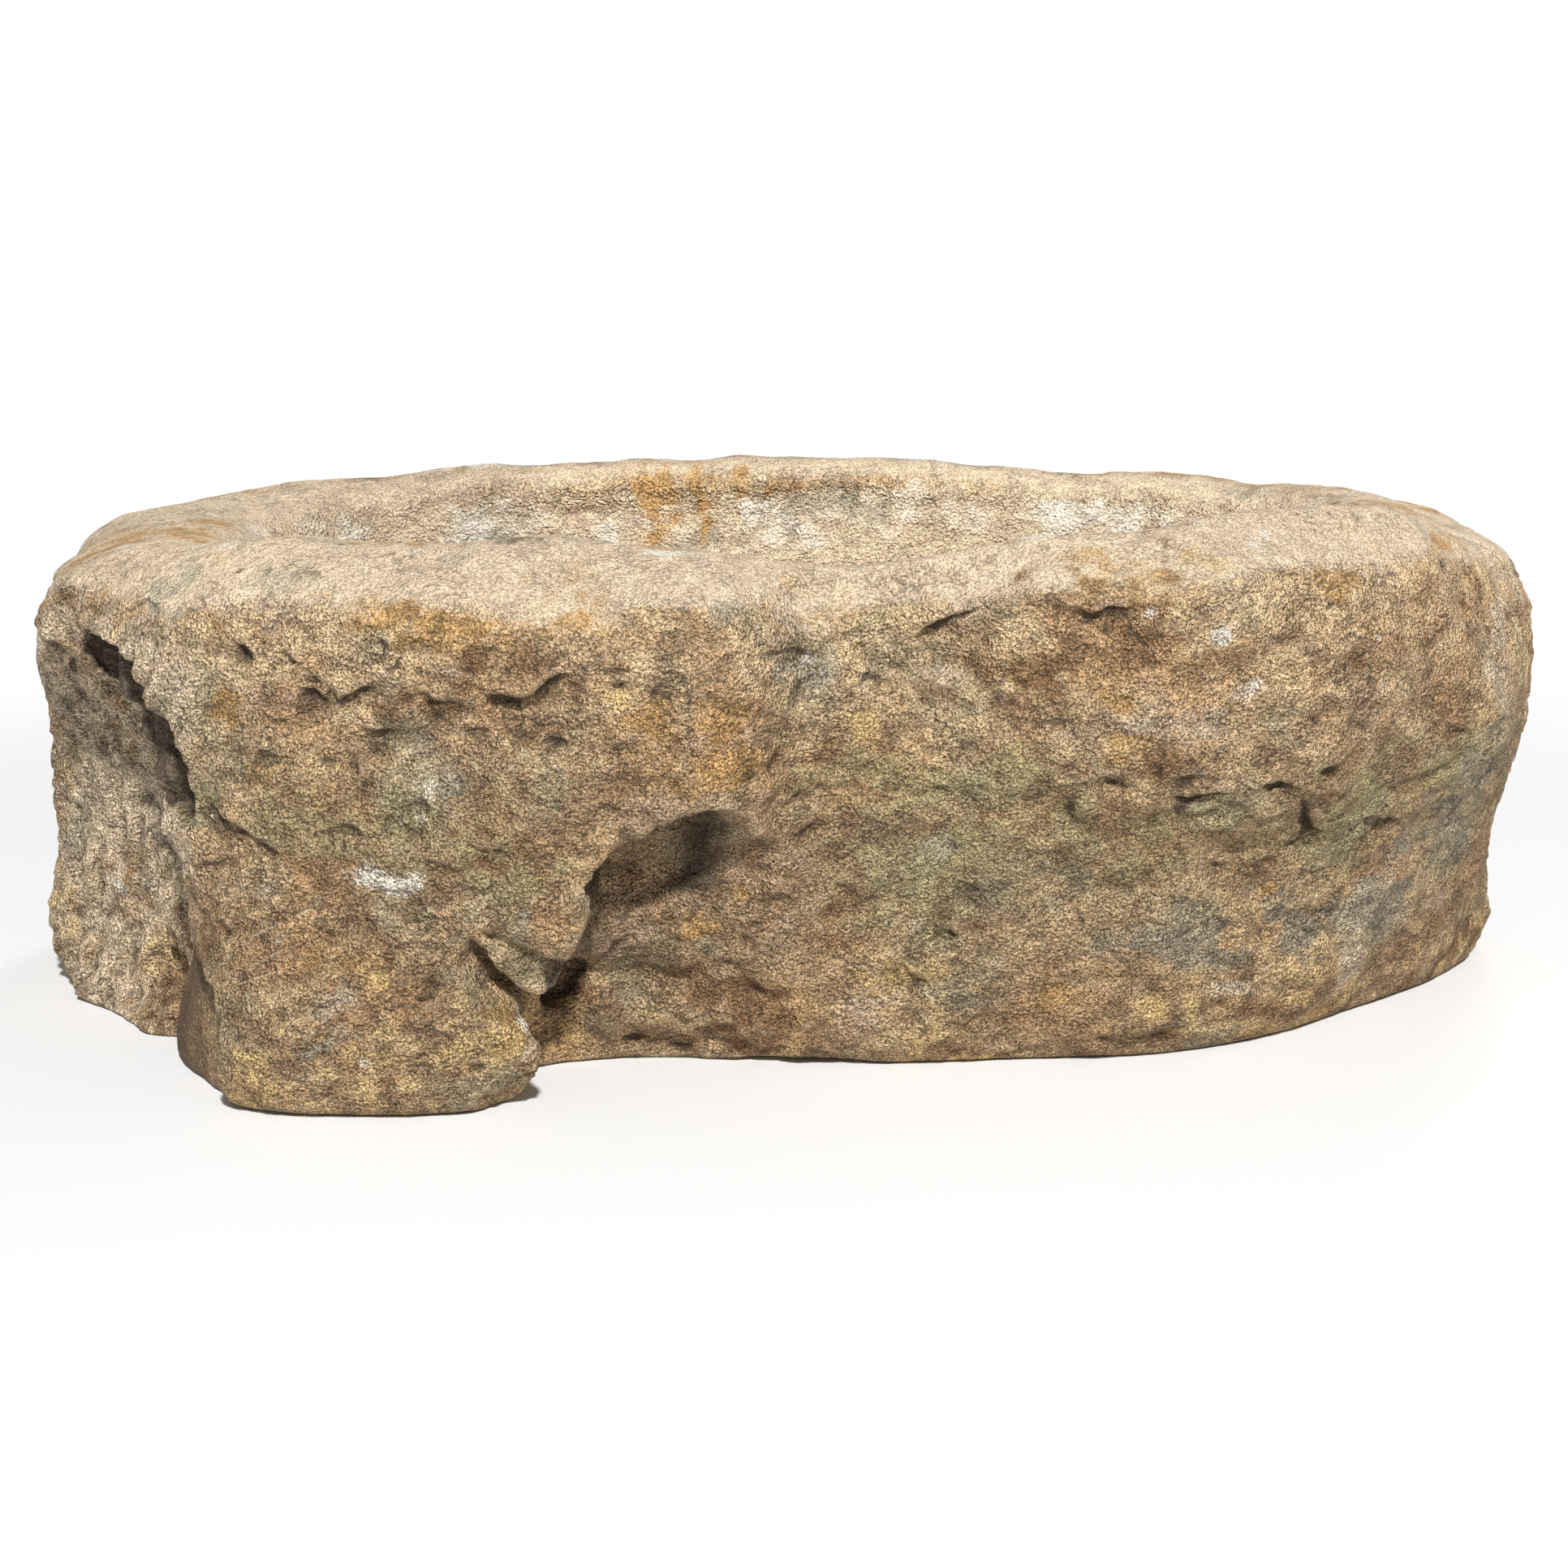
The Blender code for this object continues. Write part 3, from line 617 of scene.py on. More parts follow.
def work_finely(stone, coarse_points, coarse_shade):
    """Ledges, chips, layers and pits.  Gives what the stains and the material need to know of each point."""
    coarse_tree = tree_of(coarse_points)
    remesh(stone, FINE_VOXEL)
    set_points(stone, spread(points_of(stone), edges_of(stone), 1, 0.2))
    points, normals = points_of(stone), normals_of(stone)
    painted_shade = np.zeros(len(points))
    left_end = np.flatnonzero(points[:, 0] < LEFT_END)
    painted_shade[left_end] = coarse_shade[[coarse_tree.find(point)[1] for point in points[left_end]]]
    edges = edges_of(stone)
    warp = warping(points)
    x, _, z = points.T
    broad = spread(normals, edges, 3)
    broad /= np.linalg.norm(broad, axis=1)[:, None]
    part = regions(points, broad)
    base = smooth(z, 0.012)
    # Painted shade on the hollow's roof and on the heel
    roof = np.maximum(smooth(z - 0.13, 0.03), 0.55 * smooth(-0.10 - x, 0.05))
    roof = roof * smooth(-0.02 - x, 0.05)
    painted_shade = np.maximum(np.maximum(painted_shade, part.hollow * roof), 0.8 * part.heel)
    dirt_and_shade = np.zeros(len(points))
    brink = {"aside": np.full(len(points), float(BRINK)), "force": np.zeros(len(points))}
    setback = work_lines(points, broad, warp, share=0.5, crisp=0.55, dirt_and_shade=dirt_and_shade, brink=brink)
    left = smooth(0.02 - x, 0.08) * part.front
    weights = 0.35 + 1.3 * left + 0.5 * part.front - 0.33 * part.top - 0.3 * part.inside
    weights = np.maximum(weights * (1 - 0.85 * part.top), 0.01)
    weights = np.where(z < 0.006, 0.0, weights) * (0.35 + smooth(0.5 + noise(points, 130, 90)))
    big, big_dirt_and_shade = chips(points, broad, weights, *BIG_CHIPS, brink)
    small, small_dirt_and_shade = chips(points, broad, weights, *SMALL_CHIPS, brink)
    patches = smooth(fractal(points, 110, 2, 40) + 0.25 + 0.5 * left - 0.5 * part.top, 0.5)
    layers = (flakes(points, 26, 41) - 0.35) * 2.6 * patches * (1 - 0.8 * part.hollow)
    fine_scoops = 0.5 - scoops(points + warp * 0.5, 19, 14, (1.4, 1.4, 0.9))
    rough = 1 - 0.55 * part.top - 0.6 * part.inside - 0.75 * part.heel + 0.3 * part.hollow
    fine = layers + fine_scoops * 1.8 + fractal(points, 17, 3, 50, (1.2, 1.2, 1), 0.6) * 1.7
    fine = fine + part.facet * (1 - part.heel) * (np.abs(fractal(points, 26, 2, 22, (1, 1, 4.5))) * 11 - 3)
    move = (fine * rough * MM - setback - np.maximum(big, small) * np.clip(rough, 0.3, 1)) * base
    points = points + broad * move[:, None]
    set_points(stone, points)
    hollowness = spread(points, edges, 6) - points
    cavity = np.clip((hollowness * broad).sum(1) / (1.6 * MM), -1, 1)
    # How far each point lies in a wide hollow, for the painted shade there
    wide = spread(points, edges, 60) - points
    wide_hollowness = np.clip((wide * broad).sum(1) / (6 * MM), -1, 1) * (1 - part.inside)
    dirt_and_shade = np.maximum(dirt_and_shade, 0.35 * np.maximum(big_dirt_and_shade, small_dirt_and_shade) * np.clip(rough, 0.3, 1))
    shares = {"cavity": cavity, "wide_hollowness": wide_hollowness, "dirt_and_shade": dirt_and_shade, "painted_shade": painted_shade}
    shares.update(aside=brink["aside"] / BRINK, force=brink["force"], **scratching(points, broad))
    return points, broad, part, shares


def scratching(points, normals):
    """How far beside the nearest scratch each point lies, in shares of the reach, and how strong it is."""
    scratch, scratched = np.full(len(points), float(SCRATCH_REACH)), np.zeros(len(points))
    for line in SCRATCHES:
        beside = Line(points, normals, line, (SCRATCH_REACH + 2) * MM)
        aside = beside.aside / MM
        kept = np.abs(aside) < SCRATCH_REACH
        chosen = beside.near[kept]
        force = beside.ends(9) * (1 - smooth(np.abs(aside) - 3, 3))
        scratch[chosen], scratched[chosen] = aside[kept], force[kept]
    return {"scratch": scratch / SCRATCH_REACH, "scratched": scratched}


# Stains on the stone, by kind: (strength in per cent, x, y, z, radius along, [radius in depth,]
# radius up), in millimetres.  A row that leaves its radius in depth out has the common one.
STAIN_DEPTH = 30
STAINS = {
    "cream": (
        (55, 289, -277, 288, 61, 45, 30), (50, 567, -130, 303, 27, 45, 64), (90, -216, -268, 401, 202, 50, 17),
        (100, -469, -55, 390, 134, 207, 16), (100, -532, -14, 391, 82, 141, 12), (75, -132, -285, 389, 94, 20),
        (70, 8, -243, 373, 101, 42, 22), (80, 129, -227, 395, 71, 225, 38), (100, 257, -221, 415, 44, 210, 29),
        (80, 403, -189, 414, 83, 45, 13), (70, 500, -126, 406, 70, 62, 15), (55, 453, -193, 390, 94, 75, 23),
        (55, -375, -277, 373, 38, 21), (60, -432, -275, 324, 17, 15), (70, -334, -273, 387, 37, 11),
        (40, 354, -256, 381, 45, 33), (80, 109, 202, 355, 46, 10), (30, -153, -328, 334, 23, 18),
        (70, 62, -267, 307, 14, 11), (40, -240, -321, 336, 24, 13), (60, -375, -314, 168, 16, 14),
        (55, -335, -348, 83, 16, 18), (90, 353, -218, 53, 24, 11), (90, 463, -150, 52, 16, 36),
        (60, 72, -258, 45, 29, 17), (60, 98, -256, 130, 15, 8), (60, 551, -80, 87, 28, 14),
        (30, -54, -237, 64, 38, 14), (45, -183, -330, 61, 13, 67, 21), (50, -522, -213, 306, 16, 23),
        (55, -603, -1, 172, 17, 45), (50, -574, -26, 142, 16, 43), (40, 564, -128, 315, 20, 37, 41),
        (35, 20, -282, 222, 13, 20), (25, 325, -263, 198, 39, 16),
    ),
    "ochre": (
        (25, -167, -287, 386, 80, 45, 22), (50, 246, -262, 388, 50, 45, 30), (50, -228, -307, 369, 37, 45, 20),
        (100, -288, -297, 373, 33, 13), (100, -218, -308, 368, 28, 10), (60, -253, -311, 361, 71, 17),
        (70, -145, -311, 368, 35, 10), (40, -333, -276, 384, 25, 8), (50, 44, -252, 350, 49, 14),
        (70, 419, -222, 382, 41, 16), (70, 532, -123, 380, 38, 66, 13), (60, -412, -279, 346, 18, 10),
        (60, -406, -292, 285, 17, 20), (90, -43, -327, 245, 35, 21), (55, -61, -331, 288, 40, 23),
        (40, -96, -324, 304, 35, 18), (60, 203, -248, 59, 22, 15), (80, 256, -285, 261, 22, 11),
        (100, 369, -216, 133, 7, 6), (90, -58, -248, 118, 17, 13), (70, -28, -264, 152, 10, 12),
        (35, -335, -333, 118, 37, 22), (50, 181, -274, 318, 35, 22), (60, -205, -341, 70, 24, 53, 21),
        (30, -449, -281, 209, 20, 20), (35, -368, -312, 247, 38, 24), (40, 252, -281, 295, 36, 14),
        (35, -306, -316, 314, 24, 14), (100, -122, 206, 392, 10.4, 60, 40), (81, -104, 206, 396, 7.8, 60, 34),
        (85, -80, 207, 388, 11, 60, 44), (60, -58, 207, 398, 6, 60, 30), (75, -33, 208, 396, 8, 60, 34),
        (50, -10, 208, 400, 7, 60, 24),
    ),
    "gold": (
        (100, 66, -274, 273, 21, 17), (90, 96, -255, 77, 38, 18), (60, -305, -339, 111, 30, 17),
        (90, -204, -350, 68, 25, 53, 21), (40, 123, -273, 207, 15, 10), (60, -93, -229, 34, 57, 13),
        (40, -394, -354, 39, 37, 12), (50, -239, -355, 58, 35, 18), (40, 168, -273, 360, 23, 8),
        (45, -113, -325, 316, 23, 18), (50, -287, -361, 35, 59, 10), (35, 318, -258, 393, 37, 16),
        (30, 284, -257, 177, 32, 11),
    ),
    "rust": (
        (40, -214, -336, 199, 45, 45, 38), (25, 144, -260, 143, 60, 45, 34), (40, -250, -320, 308, 150, 40, 26),
        (75, -38, -239, 48, 69, 45, 32), (30, -280, -303, 366, 44, 45, 32), (45, -305, -339, 111, 40, 45, 35),
        (80, 198, -276, 329, 36, 27), (50, 215, -276, 335, 110, 40, 34), (35, -300, -312, 300, 120, 40, 34),
        (60, 269, -280, 343, 24, 36), (50, 146, -266, 335, 35, 16), (30, 128, -271, 293, 36, 29),
        (60, 282, -257, 393, 9, 20), (55, 227, -267, 383, 36, 8), (60, 187, -260, 385, 14, 13),
        (40, 169, -277, 300, 35, 23), (50, -211, -322, 345, 64, 10), (50, -288, -310, 349, 36, 8),
        (50, -201, -324, 298, 65, 21), (40, -155, -324, 286, 35, 18), (20, -50, -321, 333, 23, 11),
        (45, -441, -284, 134, 50, 103, 58), (80, -488, -184, 36, 67, 116, 57), (60, -480, -258, 296, 30, 36),
        (60, 369, -206, 33, 67, 41, 18), (70, 590, -18, 22, 50, 66, 27), (50, 289, -230, 15, 40, 9),
        (60, 148, -241, 9, 102, 8), (50, -4, -250, 19, 38, 10), (90, -12, 200, 338, 14, 6),
        (20, -245, 196, 371, 30, 11), (50, 284, -281, 249, 24, 11), (40, 223, -289, 245, 18, 8),
        (30, -157, -333, 162, 16, 17), (25, -544, -117, 379, 34, 61, 7), (25, 380, -256, 351, 40, 24),
        (35, 413, -251, 313, 41, 18),
    ),
    "algae": (
        (75, 144, -260, 143, 62, 45, 35), (80, -214, -336, 199, 49, 45, 40), (75, -324, -320, 213, 93, 30),
        (100, -282, -327, 220, 36, 16), (85, -191, -336, 181, 36, 43), (50, -213, -329, 252, 48, 20),
        (40, -132, -334, 229, 29, 24), (100, 81, -277, 239, 84, 21), (90, 164, -284, 241, 36, 26),
        (75, 131, -265, 173, 80, 47), (50, 52, -263, 147, 37, 40), (60, 219, -280, 215, 36, 28),
        (45, 312, -269, 206, 51, 29), (100, 467, -212, 245, 23, 13), (70, 528, -163, 224, 57, 65, 43),
        (45, 412, -247, 232, 57, 35, 26), (50, 9, -271, 137, 25, 27), (35, 269, -247, 136, 51, 27),
        (60, -440, -288, 226, 22, 25), (35, -591, -26, 92, 27, 39), (80, -200, 200, 381, 26, 6),
        (60, 352, 175, 385, 12, 12), (40, 398, -217, 173, 42, 32), (50, 120, -255, 119, 37, 20),
        (40, -4, -305, 288, 14, 36), (55, 250, -262, 186, 170, 40, 44), (60, 440, -210, 190, 110, 70, 56),
        (50, 60, -268, 190, 90, 40, 50), (45, -250, -330, 205, 120, 40, 44),
    ),
    "grey": (
        (50, -260, -321, 250, 32, 45, 30), (95, 323, -232, 89, 48, 30), (90, 482, -148, 99, 77, 67, 41),
        (70, 407, -192, 93, 44, 26), (40, 168, -262, 147, 56, 40), (70, -259, 192, 364, 30, 11),
        (50, 56, 206, 381, 76, 19), (60, -38, -311, 358, 29, 14), (70, 14, -282, 326, 42, 14),
        (40, 26, -284, 296, 24, 20), (50, -461, -216, 375, 34, 65, 22), (50, -356, -249, 398, 38, 8),
        (60, -526, 13, 394, 25, 39, 6), (50, -331, -357, 52, 36, 10), (30, 140, -253, 47, 25, 18),
        (60, 572, -122, 221, 41, 78, 54), (50, 112, -267, 180, 28, 24), (30, -236, -322, 304, 35, 13),
        (50, 274, -280, 355, 36, 7), (30, -393, -295, 304, 19, 12), (100, -87, 201, 349, 30, 6),
        (30, -253, -259, 400, 37, 7), (40, -4, -266, 122, 18, 21), (30, 72, -253, 20, 26, 13),
        (40, -618, -2, 106, 26, 53), (50, 423, 165, 404, 32, 32, 9), (30, -192, -335, 138, 12, 20),
        (50, 330, -225, 108, 150, 50, 40), (50, 540, -110, 150, 80, 90, 70),
    ),
    "chalk": (
        (45, -441, -170, 399, 55, 45, 25), (40, 82, 207, 384, 105, 45, 35), (35, -215, 206, 400, 112, 45, 23),
        (50, -262, -322, 247, 15, 24), (100, -287, -329, 179, 34, 16), (90, 326, -272, 354, 8, 12),
        (60, 356, -263, 316, 21, 10), (100, 441, -233, 328, 7, 6), (80, 11, -280, 335, 10, 6),
        (90, -81, -255, 403, 32, 6), (90, -309, -362, 30, 9, 6), (100, -557, -56, 89, 6, 8),
        (80, 265, -278, 364, 10, 6), (60, 306, -217, 418, 36, 6), (60, -267, -326, 227, 7, 12),
        (80, 482, -162, 147, 11, 6), (40, -361, -257, 393, 25, 6), (50, 352, -216, 415, 19, 6),
        (70, 375, -265, 285, 6, 6),
    ),
    "pink": (
        (100, 430, -241, 290, 19, 13), (60, -85, -335, 223, 29, 34, 27), (50, -38, -327, 269, 41, 19),
        (80, -185, 199, 366, 22, 8), (50, -367, -304, 300, 38, 18), (40, -273, -313, 284, 48, 18),
        (40, -154, -323, 304, 35, 12), (30, -442, -281, 153, 52, 102, 48), (30, 339, -270, 274, 44, 12),
        (40, -427, -260, 364, 25, 20), (30, 258, -278, 307, 37, 18), (30, 518, -167, 354, 45, 51, 29),
        (30, -237, -329, 227, 24, 12),
    ),
}


def stain_shares(points, part):
    """Each point's share of each stain, from 0 to 1."""
    warped = points + sway(points, ((80, 20, 80), (28, 9, 84))) * MM
    top, inside, facet, heel = part.top, part.inside, part.facet, part.heel
    height = points[:, 2]
    low, middle = smooth(0.16 - height, 0.12), smooth(0.30 - height, 0.12)
    away = 1 - part.front * (1 - 0.6 * facet)
    outside = 1 - inside

    def drift(wavelength, seed, stretch=(1, 1, 1)):
        return 0.5 + 0.5 * np.clip(fractal(points, wavelength, 2, seed, stretch) * 1.5, -1, 1)

    general = {
        "cream": 0.9 * top + inside + 0.45 * away * drift(150, 101) + 0.8 * facet * (1 - heel),
        "algae": away * middle * (0.95 * drift(170, 102) - 0.15) * outside + 0.2 * inside * drift(90, 107),
        "grey": 0.75 * away * drift(140, 103) * (1 - 0.4 * top) * outside,
        "pink": 0.25 * drift(120, 104) + 0.2 * part.hollow,
        "ochre": 0.6 * away * drift(130, 105) * (1 - 0.7 * inside) + 0.25 * low * drift(60, 108),
        "gold": 0.5 * low * drift(70, 106),
        "rust": away * (0.7 * drift(150, 109, (1, 1, 1.6)) - 0.05) * (1 - 0.5 * top) * outside + 0.75 * heel,
        "chalk": away * np.clip(drift(100, 110) * 1.6 - 0.85, 0, 1) + 0.65 * inside * drift(60, 111),
    }
    shares = {}
    for kind, spots in STAINS.items():
        share = np.zeros(len(points))
        for strength, x, y, z, along, *depth, up in spots:
            reach = np.sqrt(ellipsoid(warped, (x, y, z), (along, *(depth or (STAIN_DEPTH,)), up)))
            share = np.maximum(share, strength / 100 * (1 - smooth(reach - 0.2, 1.3)))
        shares[kind] = np.maximum(share, general[kind])
    return shares


def set_shares(stone, shares):
    """Keeps the shares on the mesh, where the material reads them."""
    for kind, share in shares.items():
        attribute = stone.data.attributes.new(kind, "FLOAT", "POINT")
        attribute.data.foreach_set("value", np.clip(share, -1, 1).astype(np.float32))


def thin_out(stone):
    """Fewer faces where the stone is plain, up to the budget."""
    faces = sum(len(polygon.vertices) - 2 for polygon in stone.data.polygons)
    if faces > FACE_BUDGET:
        modifier = stone.modifiers.new("thin", "DECIMATE")
        modifier.ratio = FACE_BUDGET / faces
        bake(stone)


class Nodes:
    """Short names for building a node tree, and the colour that a material has built up so far."""

    def __init__(self, tree):
        self.tree = tree
        self.colour = None

    def add(self, kind, **settings):
        node = self.tree.nodes.new(kind)
        for name, value in settings.items():
            setattr(node, name, value)
        return node

    def put(self, socket, value):
        if isinstance(value, bpy.types.NodeSocket):
            self.tree.links.new(value, socket)
        else:
            socket.default_value = value

    def math(self, operation, first, second=0, third=0):
        node = self.add("ShaderNodeMath", operation=operation)
        for socket, value in zip(node.inputs, (first, second, third)):
            self.put(socket, value)
        return node.outputs[0]

    def times(self, first, second):
        return self.math("MULTIPLY", first, second)

    def times_plus(self, first, second, added):
        return self.math("MULTIPLY_ADD", first, second, added)

    def falls(self, value, low, high):
        """Smooth from 1 at low to 0 at high."""
        return self.between(value, low, high, 1, 0)

    def between(self, value, low, high, start=0, end=1):
        """Smooth from start at low to end at high."""
        node = self.add("ShaderNodeMapRange", interpolation_type="SMOOTHSTEP")
        for socket, item in zip(node.inputs, (value, low, high, start, end)):
            self.put(socket, item)
        return node.outputs[0]

    def mix(self, share, first, second, blend="MIX"):
        node = self.add("ShaderNodeMix", data_type="RGBA", blend_type=blend)
        self.put(node.inputs[0], share)
        for socket, value in ((node.inputs[6], first), (node.inputs[7], second)):
            self.put(socket, (*value, 1) if isinstance(value, tuple) else value)
        return node.outputs[2]

    def paint(self, share, pigment, blend="MIX"):
        """Lays a pigment over the colour so far."""
        self.colour = self.mix(share, self.colour, pigment, blend)

    def share(self, name):
        return self.add("ShaderNodeAttribute", attribute_name=name).outputs["Fac"]

    def at(self, kind, place, **values):
        """A node that works on a place, with these values on its sockets."""
        node = self.add(kind)
        self.put(node.inputs["Vector"], place)
        for name, value in values.items():
            node.inputs[name].default_value = value
        return node

    def noise(self, place, scale, detail, roughness):
        return self.at("ShaderNodeTexNoise", place, Scale=scale, Detail=detail, Roughness=roughness).outputs[0]

    def cells(self, place, scale):
        """How far each place lies from the middle of its cell."""
        return self.at("ShaderNodeTexVoronoi", place, Scale=scale).outputs["Distance"]

    def grains(self, place, scale):
        """Cells side by side, each with a value of its own from 0 to 1."""
        split = self.add("ShaderNodeSeparateColor")
        self.put(split.inputs[0], self.at("ShaderNodeTexVoronoi", place, Scale=scale).outputs["Color"])
        return split.outputs[0]

    def stretched(self, place, stretch):
        return self.at("ShaderNodeMapping", place, Scale=stretch).outputs[0]

    def bump(self, height, distance):
        node = self.add("ShaderNodeBump")
        node.inputs["Distance"].default_value = distance
        self.put(node.inputs["Height"], height)
        return node.outputs[0]

    def seen(self):
        """1 for the rays that should see the white round the stone, and 0 for those that light it."""
        rays = self.add("ShaderNodeLightPath").outputs
        mirrored = self.math("MAXIMUM", rays["Is Camera Ray"], rays["Is Glossy Ray"])
        return self.math("MAXIMUM", mirrored, rays["Is Transmission Ray"])

    def blend(self, share, first, second, output):
        """Mixes two nodes that shine or shade, and sends them to the output."""
        node = self.add("ShaderNodeMixShader")
        for socket, value in zip(node.inputs, (share, first.outputs[0], second.outputs[0])):
            self.put(socket, value)
        self.put(self.tree.nodes[output].inputs["Surface"], node.outputs[0])


# The stone's colours, lighter above and darker near the ground
BUFF = (0.60, 0.445, 0.27)
TAN = (0.42, 0.29, 0.17)
LOW_BUFF = (0.47, 0.34, 0.195)
LOW_TAN = (0.29, 0.20, 0.115)
WARM_BROWN = (0.41, 0.25, 0.13)
OLIVE = (0.37, 0.325, 0.205)
# Painted shade and shadow, partly dirt, in recesses, cracks and under edges; the pale of worn high spots, partly
# painted highlight, and of scratches
SHADOW_BROWN = (0.075, 0.052, 0.034)
PAINTED_SHADE_BROWN = (0.085, 0.06, 0.04)
WEAR_AND_HIGHLIGHT_BUFF = (0.62, 0.50, 0.35)
SCRATCH_BUFF = (0.66, 0.56, 0.41)
# What low patches (dirt and painted shade) and high patches (painted highlight), darker and lighter grains of sand,
# and painted light do to the colour
LOW_PATCH_DIRT_AND_SHADE = (0.79, 0.77, 0.75)
HIGH_PATCH_HIGHLIGHT = (1.19, 1.18, 1.16)
DARK_GRAIN = (0.44, 0.42, 0.40)
LIGHT_GRAIN = (1.65, 1.64, 1.62)
PAINTED_LIGHT = (1.25, 1.24, 1.22)
PIGMENTS = (
    ("cream", (0.615, 0.505, 0.365)),
    ("algae", (0.27, 0.25, 0.13)),
    ("grey", (0.36, 0.33, 0.25)),
    ("pink", (0.37, 0.25, 0.17)),
    ("ochre", (0.50, 0.305, 0.125)),
    ("gold", (0.58, 0.41, 0.18)),
    ("rust", (0.26, 0.155, 0.078)),
    ("chalk", (0.68, 0.63, 0.54)),
)
# How far a stain covers the stone at most
COVER = 0.9
THIN_COVER = {"algae": 0.6, "gold": 0.65, "grey": 0.75, "pink": 0.7}


def new_material(name):
    """A material, its nodes and its shader."""
    material = bpy.data.materials.new(name)
    material.use_nodes = True
    return material, Nodes(material.node_tree), material.node_tree.nodes["Principled BSDF"]


def sandstone():
    """Two tones of stone under eight stains, each broken up by noise, with sand, thin layers and crisp edges, and
    with painted shade, shadow, highlight and light.
    """
    material, n, shader = new_material("weathered_sandstone")
    place = n.add("ShaderNodeTexCoord").outputs["Object"]
    flat = n.stretched(place, (1, 1, 1.3))
    blotch = n.noise(place, 22, 6, 0.68)
    patch = n.noise(flat, 48, 3, 0.5)
    grain = n.noise(place, 430, 1, 0.5)
    fine_sand = n.times(n.noise(place, 620, 2, 0.6), 0.9)
    sand = n.times_plus(n.grains(place, 880), 0.55, fine_sand)
    warm = n.noise(place, 13, 5, 0.65)
    split = n.add("ShaderNodeSeparateXYZ")
    n.put(split.inputs[0], place)
    height = split.outputs[2]
    rough = n.math("SUBTRACT", 1, n.times(n.share("calm"), 0.55))

    # Thin layers that end in crisp crooked edges, of which only short stretches show
    layer = n.math("FRACT", n.times_plus(n.noise(place, 17, 3, 0.62), 10, n.times(height, -50)))
    layer_edge = n.falls(layer, 0, 0.2)
    broken_up = n.noise(place, 34, 2, 0.55)
    layered = n.times(n.times(n.share("layered"), rough), n.between(broken_up, 0.5, 0.6))

    # Short hairline cracks
    course = n.noise(n.stretched(place, (1, 1, 2)), 62, 3, 0.6)
    course = n.math("ABSOLUTE", n.math("SUBTRACT", course, 0.5))
    stretches = n.between(n.noise(place, 31, 2, 0.6), 0.52, 0.58)
    hairline = n.times(n.times(n.falls(course, 0.012, 0.034), stretches), rough)

    light = n.between(blotch, 0.4, 0.6)
    n.colour = n.mix(n.share("upper"), n.mix(light, LOW_TAN, LOW_BUFF), n.mix(light, TAN, BUFF))
    n.paint(n.between(warm, 0.5, 0.61, 0, 0.7), WARM_BROWN)
    n.paint(n.between(warm, 0.47, 0.37, 0, 0.6), OLIVE)
    # Each stain breaks up into patches; every second one keeps to the places that the last one leaves.
    broken = n.times_plus(blotch, 2.6, n.times_plus(patch, 2, n.times_plus(grain, 0.8, -2.7)))
    for index, (kind, pigment) in enumerate(PIGMENTS):
        share = n.share(kind)
        uneven = n.times(n.math("MINIMUM", n.times(share, 2.5), 1), 1 if index % 2 else -1)
        level = n.times_plus(broken, uneven, n.times(share, 1.45))
        low, high = (0.45, 1.3) if kind == "chalk" else (0.25, 1.05)
        n.paint(n.between(level, low, high, 0, THIN_COVER.get(kind, COVER)), pigment)
    # Painted highlight on the high patches of the relief, dirt and painted shade in the low ones, and grains of sand
    n.paint(rough, n.mix(n.between(patch, 0.38, 0.6), LOW_PATCH_DIRT_AND_SHADE, HIGH_PATCH_HIGHLIGHT), "MULTIPLY")
    sandy = n.mix(n.between(sand, 0.46, 0.99), DARK_GRAIN, LIGHT_GRAIN)
    n.paint(n.between(rough, 0.4, 1, 0.6, 1), sandy, "MULTIPLY")
    # Painted light: lighter on the basin's back wall, the right end and the rim's left end
    n.paint(n.share("bleached"), PAINTED_LIGHT, "MULTIPLY")
    # Painted shadow under the layers' edges, painted shade in the shaded places and the hollows, the dark of the
    # cracks, and painted highlight with wear on the high spots
    n.paint(n.times(n.times(layer_edge, layered), 0.4), SHADOW_BROWN)
    # Painted shade below the left ridge, on the hollow's roof and on the heel, broken up by the patches
    n.paint(n.between(n.times_plus(patch, 0.4, n.share("painted_shade")), 0.25, 1.15, 0, 0.91), PAINTED_SHADE_BROWN)
    n.paint(n.times(hairline, 0.62), SHADOW_BROWN)
    cavity = n.share("cavity")
    # Painted shade in the small hollows, and a pale of wear with painted highlight on the high spots
    n.paint(n.between(cavity, 0.15, 1, 0, 0.4), SHADOW_BROWN)
    n.paint(n.between(cavity, -0.1, -0.9, 0, 0.2), WEAR_AND_HIGHLIGHT_BUFF)
    # Painted shade in the wide hollows
    n.paint(n.between(n.share("wide_hollowness"), 0.2, 1, 0, 0.2), SHADOW_BROWN)
    # The crisp edges of the ledges, which overhang a little, and the painted shadow under them
    crooked = n.times_plus(n.noise(place, 95, 3, 0.6), 10, -5)
    aside = n.times_plus(n.share("aside"), BRINK, crooked)
    force = n.times(n.share("force"), n.between(broken_up, 0.4, 0.52, 0.25, 1))
    thinner = n.math("DIVIDE", aside, n.times_plus(force, 1.3, 0.15))
    under = n.times(n.between(aside, -0.6, 0.6), n.falls(thinner, 2.5, 7.5))
    n.paint(n.times(under, n.between(force, 0.05, 0.8, 0, 0.95)), SHADOW_BROWN)
    crooked = n.times_plus(broken_up, 2, -1)
    scratch = n.math("ABSOLUTE", n.times_plus(n.share("scratch"), SCRATCH_REACH, crooked))
    scratched = n.times(n.falls(scratch, 0.3, 1.1), n.share("scratched"))
    n.paint(n.times(scratched, n.between(grain, 0.4, 0.55, 0.2, 0.85)), SCRATCH_BUFF)
